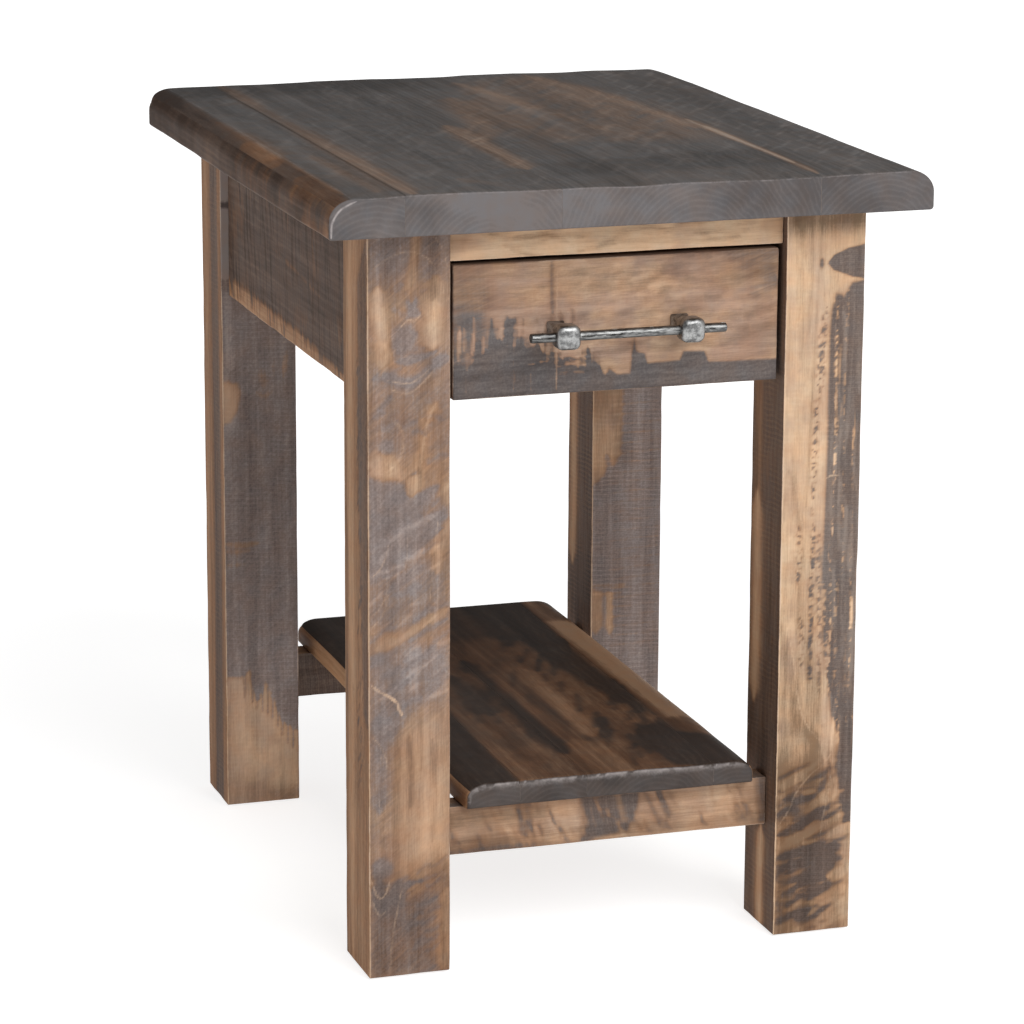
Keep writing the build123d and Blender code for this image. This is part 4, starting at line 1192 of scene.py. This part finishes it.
TOP_FACES = {
    "top": [
        stain.level(1),
        stain.clouds(0.18, (50, 200), 91),
        glow.clouds(0.3, (34, 240), 92),
        stain.line(-0.52, 10, (68, 6), (67, 150), (66, 300), (67, 600)),
        glow.line(-1, 1.4, (60, -20), (60, 300), (60, 624)),
        stain.line(-0.35, 9, (16, 200), (18, 290), (14, 400)),
        stain.line(-0.3, 6, (44, 20), (44, 120), (42, 200)),
        stain.line(-0.3, 10, (150, 4), (140, 30), (120, 60)),
        stain.line(-0.62, 10, (186, 90), (188, 180), (190, 320)),
        stain.line(-0.35, 14, (200, 240), (225, 360), (240, 470)),
        stain.area(-0.34, 30, (240, 200), (400, 190), (392, 420), (360, 590), (260, 560), (230, 360)),
        stain.line(-0.35, 9, (345, 590), (376, 430), (386, 250)),
        stain.line(-0.25, 8, (270, 560), (290, 430), (310, 250)),
        glow.area(-0.5, 16, (200, 110), (400, 140), (400, 60), (200, 50)),
        warm_tone_and_bounce.area(0.8, 3, (-9, -9), (16, -9), (17, 613), (-9, 613)),
        glow.area(-0.3, 3, (-9, -9), (16, -9), (17, 613), (-9, 613)),
        # A painted highlight along the rounded left edge.
        pale.line(0.35, 1.6, (18, -4), (19, 300), (19, 604)),
        stain.line(-0.28, 9, (8, -4), (8, 60), (8, 120)),
        stain.line(-0.28, 9, (10, 180), (9, 230), (10, 290)),
        stain.line(-0.45, 2.4, (17, 20), (17, 120), (18, 280)),
        stain.line(-1, 4, (396, 10), (396, 140), (394, 300)),
        glow.line(1.1, 3, (396, 60), (396, 140), (395, 260)),
        pale.line(0.5, 1.8, (395, 90), (395, 150), (395, 220)),
        glow.area(-0.7, 30, (-20, 620), (260, 620), (240, 540), (-20, 520)),
        *glow.scribbles(41, 110, (404, 10), (480, 590), 34, 0.5, tilt=(48, 58), width=1.7),
        *glow.scribbles(42, 110, (20, 10), (395, 590), 60, 0.3, tilt=(48, 66), width=3),
        *stain.scribbles(43, 60, (210, 180), (400, 560), 70, 0.12, tilt=(50, 66), width=3.4),
    ],
    "front": [
        stain.level(0.9),
        glow.clouds(0.35, (40, 16), 93),
        # Thin pale lines round the front left corner and along the front top arris: painted highlights on
        # the rounded edges.
        pale.line(1.1, 1, (2, 604), (3, 616), (10, 626), (22, 632)),
        pale.line(0.5, 0.8, (22, 633.2), (245, 633.2), (490, 633.2)),
        glow.area(-0.6, 20, (320, 640), (440, 640), (430, 596), (330, 596)),
        glow.area(0.8, 24, (90, 640), (300, 640), (300, 596), (90, 596)),
    ],
    "back": [stain.level(0.9), glow.level(0.3)],
    "left": [
        stain.level(1),
        # The warm level: a painted warm bounce light on the side.
        warm_tone_and_bounce.level(1),
        glow.level(-0.45),
        stain.clouds(0.15, (26, 60), 94),
        glow.clouds(0.5, (26, 60), 95),
        glow.area(-0.6, 60, (0, 640), (160, 640), (160, 600), (0, 600)),
        stain.line(-0.32, 12, (610, 628), (540, 628), (490, 622)),
        stain.line(-0.3, 12, (425, 622), (370, 618), (320, 620)),
        stain.line(-0.3, 9, (600, 608), (570, 606), (530, 606)),
        glow.area(0.5, 20, (470, 660), (640, 660), (640, 590), (470, 590)),
        *stain.scribbles(46, 50, (4, 600), (600, 630), 26, 0.18, tilt=(70, 96), width=2.6),
        *stain.scribbles(47, 40, (200, 600), (600, 630), 26, -0.14, tilt=(70, 96), width=3),
    ],
    "right": [stain.level(0.72), warm_tone_and_bounce.level(0.6), stain.clouds(0.4, (90, 20), 95)],
    "under": [stain.level(0.6), stain.clouds(0.4, (50, 200), 96)],
}
SHELF_FACES = {
    "top": [
        stain.level(0.45),
        stain.clouds(0.25, (26, 160), 97),
        glow.clouds(0.35, (24, 200), 99),
        stain.area(0.7, 6, (0, 0), (44, 0), (45, 520), (0, 520)),
        stain.line(0.55, 9, (104, 60), (104, 140), (104, 260), (103, 340)),
        stain.line(0.35, 12, (78, 180), (80, 230), (76, 300)),
        glow.area(-0.4, 20, (46, 520), (209, 520), (209, 300), (46, 300)),
        stain.area(0.2, 16, (44, 250), (98, 250), (98, 90), (44, 90)),
        stain.area(0.22, 16, (122, 300), (176, 300), (176, 80), (122, 80)),
        stain.line(-0.4, 10, (128, 0), (124, 40), (122, 90)),
        stain.line(-0.35, 12, (140, 100), (142, 200), (144, 320)),
        stain.area(0.65, 8, (172, 60), (180, 8), (209, -4), (209, 130), (196, 110), (186, 120), (180, 90)),
        stain.area(0.6, 9, (184, 240), (209, 140), (209, 520), (160, 520), (176, 340)),
        stain.area(0.35, 16, (90, 520), (209, 520), (209, 400), (110, 400)),
        stain.area(0.55, 7, (204, 90), (250, 70), (250, -4), (204, -4)),
        stain.area(-0.75, 6, (216, 520), (212, 400), (214, 260), (218, 130), (250, 90), (250, 520)),
        glow.area(1.3, 8, (214, 440), (216, 130), (240, 130), (240, 440)),
        glow.area(0.5, 12, (180, 360), (180, 120), (209, 120), (209, 360)),
        # A painted highlight along the rounded front edge.
        pale.line(0.55, 4.5, (-120, -2), (120, -2), (370, -2)),
        *stain.scribbles(44, 40, (150, 20), (205, 400), 60, 0.26, tilt=(64, 80), width=4),
        *stain.scribbles(45, 40, (56, 10), (150, 400), 60, 0.1, tilt=(64, 80), width=4),
    ],
    "front": [
        stain.level(0.9),
        glow.clouds(0.4, (30, 12), 93),
        # Painted highlights along the rounded front arris and its left corner.
        pale.line(0.7, 4.5, (-120, 150.5), (120, 150.5), (370, 150.5)),
        pale.line(0.6, 2.4, (2, 136), (3, 144), (9, 149)),
    ],
    "back": [stain.level(0.9), glow.level(0.3)],
    # The warm sides: a painted warm bounce light.
    "left": [stain.level(0.05), glow.level(0.2), warm_tone_and_bounce.level(1.0)],
    "right": [stain.level(0.05), glow.level(0.2), warm_tone_and_bounce.level(1.0)],
    "under": [stain.level(0.5), stain.clouds(0.4, (50, 200), 98)],
}
TOP_END = (0.117, 0.106, 0.106)
SHELF_END = (0.078, 0.066, 0.062)

make_legs()
make_rails()
make_panel(
    "top_board", "top_wood", TOP_FACES, 40,
    side_radii=(18, 22), under_radius=3, corner_radius=12, end_ease=1.6,
    light=TOP_BROWN, dark=TOP_CHARCOAL, worn=(0.22, 0.17, 0.14), end_tone=TOP_END, gloss=0.48, shine=0.012,
)
make_panel(
    "shelf_board", "shelf_wood", SHELF_FACES, 60,
    side_radii=(12, 18), under_radius=2, corner_radius=6, end_ease=4.5,
    light=SHELF_BROWN, dark=SHELF_BLACK, worn=(0.30, 0.24, 0.20), end_tone=SHELF_END,
    gloss=0.42, shine=0.02,
)

# ---------------------------------------------------------------- drawer front

DRAWER_FACE = [
    stain.level(0.12),
    glow.level(0.12),
    stain.area(0.3, 9, (-2, 574), (28, 572), (32, 545), (30, 508), (0, 500)),
    stain.area(0.34, 9, (-4, 536), (22, 532), (32, 500), (32, 470), (-4, 470)),
    stain.line(0.55, 2.4, (80, 574), (80, 550), (81, 528)),
    stain.line(0.3, 2, (80, 528), (80, 510), (80, 500)),
    pale.line(0.55, 1.1, (85, 566), (84, 520), (84, 468)),
    stain.area(0.45, 8, (-2, 500), (20, 496), (34, 500), (60, 510), (80, 500), (80, 456), (-2, 456)),
    stain.area(
        1, 2.2,
        (-2, 460), (-2, 492), (12, 486), (20, 496), (29, 500), (30, 508), (31.5, 526), (33.5, 510),
        (41, 508), (42, 524), (51, 526), (53, 506), (60, 500), (70, 504), (73, 496), (84, 498),
        (92, 494), (104, 494), (106, 503), (111, 503), (114, 488), (120, 484), (124, 477), (128, 482),
        (134, 477), (145, 477), (146.5, 494), (148, 506), (150, 494), (157, 492), (159, 484), (186, 485),
        (189, 492), (207, 491), (210, 482), (270, 481), (270, 460),
    ),
    stain.line(-0.6, 1.4, (50, 523), (50, 500), (50, 466)),
    stain.line(-0.6, 1.3, (84, 512), (84, 490), (84, 466)),
    stain.line(-0.25, 3, (12, 500), (12, 484), (12, 468)),
    stain.line(-0.3, 2, (66, 505), (66, 480), (67, 466)),
    glow.area(0.25, 6, (210, 480), (268, 480), (268, 464), (160, 464), (168, 474)),
    stain.area(0.34, 10, (212, 576), (270, 576), (270, 540), (244, 552)),
    stain.area(0.2, 14, (180, 576), (270, 576), (270, 480), (246, 480), (240, 530)),
    stain.area(0.14, 12, (-2, 560), (64, 540), (60, 500), (-2, 500)),
    stain.line(0.25, 6, (244, 534), (258, 540), (268, 544)),
    stain.line(0.2, 5, (110, 568), (160, 572), (210, 566)),
    *[stain.line(-0.5, 1.3, (86, z), (96, z + 1), (108, z)) for z in (499, 493, 486, 480)],
    *[stain.line(-0.4, 1.1, (38, z), (48, z + 1), (60, z)) for z in (518, 512, 504)],
    *glow.scribbles(51, 40, (86, 496), (262, 566), 46, -0.25, tilt=(10, 24), width=3),
    *glow.scribbles(54, 40, (86, 496), (262, 566), 40, 0.2, tilt=(10, 24), width=3),
    *stain.scribbles(52, 60, (16, 470), (120, 522), 26, 0.35, tilt=(87, 93), width=1.3),
    *stain.scribbles(53, 46, (4, 472), (125, 520), 26, -0.45, tilt=(87, 93), width=1.2),
    *stain.scribbles(55, 30, (60, 484), (124, 506), 18, -0.45, tilt=(-3, 5), width=1.1),
]


def make_drawer_face():
    low, high = box("drawer_face")
    piece = board("drawer_face_wood", low, high, "x", ease=1.6, step=1.6)
    plane_by_hand(piece, 77)
    paint(piece, {**plain_faces(140, (90, 24), 0.5, 0.4), "front": DRAWER_FACE}, seed=77)
    material = wood(
        "drawer_face_stain", "x", dark=SLATE, seed=27, rosy=0.9, kerf=0.14, pitch=3.6, kerf_tilt=0.05,
        figure=0.40, figure_turn=(0, math.radians(17), 0),
    )
    dress(piece, "drawer", "drawer_face_wood", material, "drawer_face")


make_drawer_face()

# ---------------------------------------------------------------- pull

# Points on each rounded corner of the pull's sections, and steps along each flat side.
ARC_POINTS = 7
FLAT_STEPS = 7
RIGHT_ANGLE = math.pi / 2


def rounded_square(half, radius):
    """Points round a square whose corners are rounded."""
    core = half - radius
    made = []
    for start in np.arange(4) * RIGHT_ANGLE:
        middle = start + RIGHT_ANGLE / 2
        centre = np.array([math.copysign(core, math.cos(middle)), math.copysign(core, math.sin(middle))])
        for turn in np.linspace(start, start + RIGHT_ANGLE, ARC_POINTS):
            made.append(centre + radius * np.array([math.cos(turn), math.sin(turn)]))
        corner_end = made[-1]
        along = np.array([-math.sin(start + RIGHT_ANGLE), math.cos(start + RIGHT_ANGLE)])
        for step in range(1, FLAT_STEPS):
            made.append(corner_end + along * (2 * core * step / FLAT_STEPS))
    return np.array(made)


def loft(name, axis, sections, centre):
    """A closed solid through rounded squares. Each section is its place along the axis, half its width, and
    the radius of its corners."""
    u, v, w = cross_axes(axis)
    first, last = sections[0], sections[-1]
    closing = [(first[0], first[1] * k, first[2] * k) for k in (0.25, 0.5, 0.75)]
    ending = [(last[0], last[1] * k, last[2] * k) for k in (0.75, 0.5, 0.25)]
    rings = []
    for place, half, radius in [*closing, *sections, *ending]:
        ring = rounded_square(half, min(radius, half - 0.01))
        points = np.empty((len(ring), 3))
        points[:, u], points[:, v], points[:, w] = ring[:, 0] + centre[u], ring[:, 1] + centre[v], place
        rings.append(points)
    around = len(rings[0])
    tips = np.array([rings[0].mean(0), rings[-1].mean(0)])
    index = np.arange(around)
    following = np.roll(index, -1)
    faces = np.concatenate(ring_walls(len(rings), around)).tolist()
    tip = len(rings) * around
    faces += [[b, a, tip] for a, b in zip(index, following)]
    last_ring = (len(rings) - 1) * around
    faces += [[last_ring + a, last_ring + b, tip + 1] for a, b in zip(index, following)]
    return make_object(name, np.concatenate([*rings, tips]), faces)


def eased(start, end, half, radius, ease, steps=6, gap=0.8):
    """Sections of a block from start to end, whose two ends are rounded by ease."""
    way = 1 if end > start else -1
    turns = np.linspace(0, RIGHT_ANGLE, steps)
    rounding = [(ease * (1 - math.cos(t)), half - ease * (1 - math.sin(t))) for t in turns]
    first = [(start + way * inward, width, radius) for inward, width in rounding]
    middle_count = max(2, int((abs(end - start) - 2 * ease) / gap))
    places = np.linspace(start + way * ease, end - way * ease, middle_count)[1:-1]
    last = [(end - way * inward, width, radius) for inward, width in rounding[::-1]]
    return first + [(place, half, radius) for place in places] + last


def hammer(piece, depth, size, seed):
    """Dents a piece all over, as forged iron is."""
    places, normals = points_of(piece)
    dents = layered_noise(places, size, seed, 2)
    move_points(piece, places + normals * (depth * (np.minimum(dents, 0.3) - 0.3))[:, None])


# How far the square head of a post reaches along it, and how round the head's edges are.
PULL_HEAD_LENGTH = 18.0
PULL_EDGE = 5.2


def make_pull_post(side, seed, material):
    """One cast post: a stem that flares at the drawer, and a hammered square head."""
    node = f"pull_post_{side}"
    low, high = box(node)
    face = high[1]
    half = (high[0] - low[0]) / 2
    back = low[1] + PULL_HEAD_LENGTH
    stem = [(0, 7.0, 1.2), (1.6, 7.0, 1.2), (2.6, 6.3, 1.2), (6, 5.6, 1.4), (11, 5.2, 1.5)]
    sections = [(face - out, width, radius) for out, width, radius in stem]
    head = eased(back, low[1], half, PULL_EDGE, PULL_EDGE - 1.0)
    head[0] = (back, half - PULL_EDGE + 1.6, 3.0)
    piece = loft(f"{node}_casting", "y", [*sections, (back + 0.5, 5.4, 2.0), *head], (low + high) / 2)
    hammer(piece, 0.30, 6.5, seed)
    dress(piece, "drawer", "pull_post_pewter", material, node)


def make_pull():
    """Two cast posts, and the round bar that runs through them."""
    pewter = plain_material("hammered_pewter", (0.13, 0.13, 0.13), (0.40, 0.40, 0.395), 6.0, 0.40, 1.0,
                            relief=0.15)
    iron = plain_material("worn_iron", (0.07, 0.07, 0.07), (0.25, 0.25, 0.245), 2.4, 0.40, 1.0,
                          stretch=(0.25, 1, 1), relief=0.06)
    make_pull_post("left", 5, pewter)
    make_pull_post("right", 8, pewter)
    low, high = box("pull_bar")
    radius = (high[2] - low[2]) / 2
    sections = eased(low[0], high[0], radius, radius, 1.2, steps=5, gap=1.4)
    bar = loft("pull_bar_forging", "x", sections, (low + high) / 2)
    hammer(bar, 0.12, (6.0, 2.5, 2.5), 12)
    dress(bar, "drawer", "pull_bar_iron", iron, "pull_bar")


make_pull()

# ---------------------------------------------------------------- materials of the CAD pieces that stay

def finish_cad_pieces():
    """Gives each CAD piece that still shows a material: the screws yellow zinc, and every other piece that
    of the longest key that its name starts with."""
    zinc = plain_material("zinc_plate", (0.52, 0.53, 0.54), (0.62, 0.63, 0.64), 5.0, 0.36, 1.0,
                          stretch=(1, 0.12, 1), relief=0.02)
    balls = plain_material("ball_steel", (0.50, 0.50, 0.50), (0.75, 0.75, 0.75), 3.0, 0.2, 1.0, relief=0.01)
    yellow_zinc = plain_material("yellow_zinc", (0.42, 0.34, 0.16), (0.66, 0.58, 0.34), 3.0, 0.34, 1.0,
                                 relief=0.03)
    nylon = plain_material("nylon", (0.62, 0.60, 0.54), (0.76, 0.74, 0.69), 6.0, 0.5, relief=0.05)
    maple = ((0.46, 0.31, 0.18), (0.70, 0.54, 0.36))
    raw = ((0.32, 0.22, 0.14), (0.52, 0.39, 0.26))
    birch = ((0.50, 0.36, 0.22), (0.72, 0.58, 0.41))
    materials = {
        "slide_": zinc,
        "slide_ball": balls,
        "drawer_side": clear_wood("drawer_side_maple", "y", *maple, seed=81),
        "drawer_box": clear_wood("drawer_end_maple", "x", *maple, seed=82),
        "drawer_bottom": clear_wood("birch_plywood", "y", *birch, seed=83, layers=1.0),
        "top_cleat": clear_wood("cleat_wood", "y", *raw, seed=84, gloss=0.6),
        "slide_spacer": clear_wood("spacer_wood", "y", *raw, seed=85, gloss=0.6),
        "foot_glides": nylon,
    }
    for name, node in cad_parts.items():
        if node.hide_render:
            continue
        fitting = [key for key in materials if name.startswith(key)]
        chosen = yellow_zinc if name.endswith("screws") else materials[max(fitting, key=len)]
        for index in range(max(1, len(node.material_slots))):
            if not node.material_slots:
                node.data.materials.append(chosen)
            node.material_slots[index].material = chosen


finish_cad_pieces()
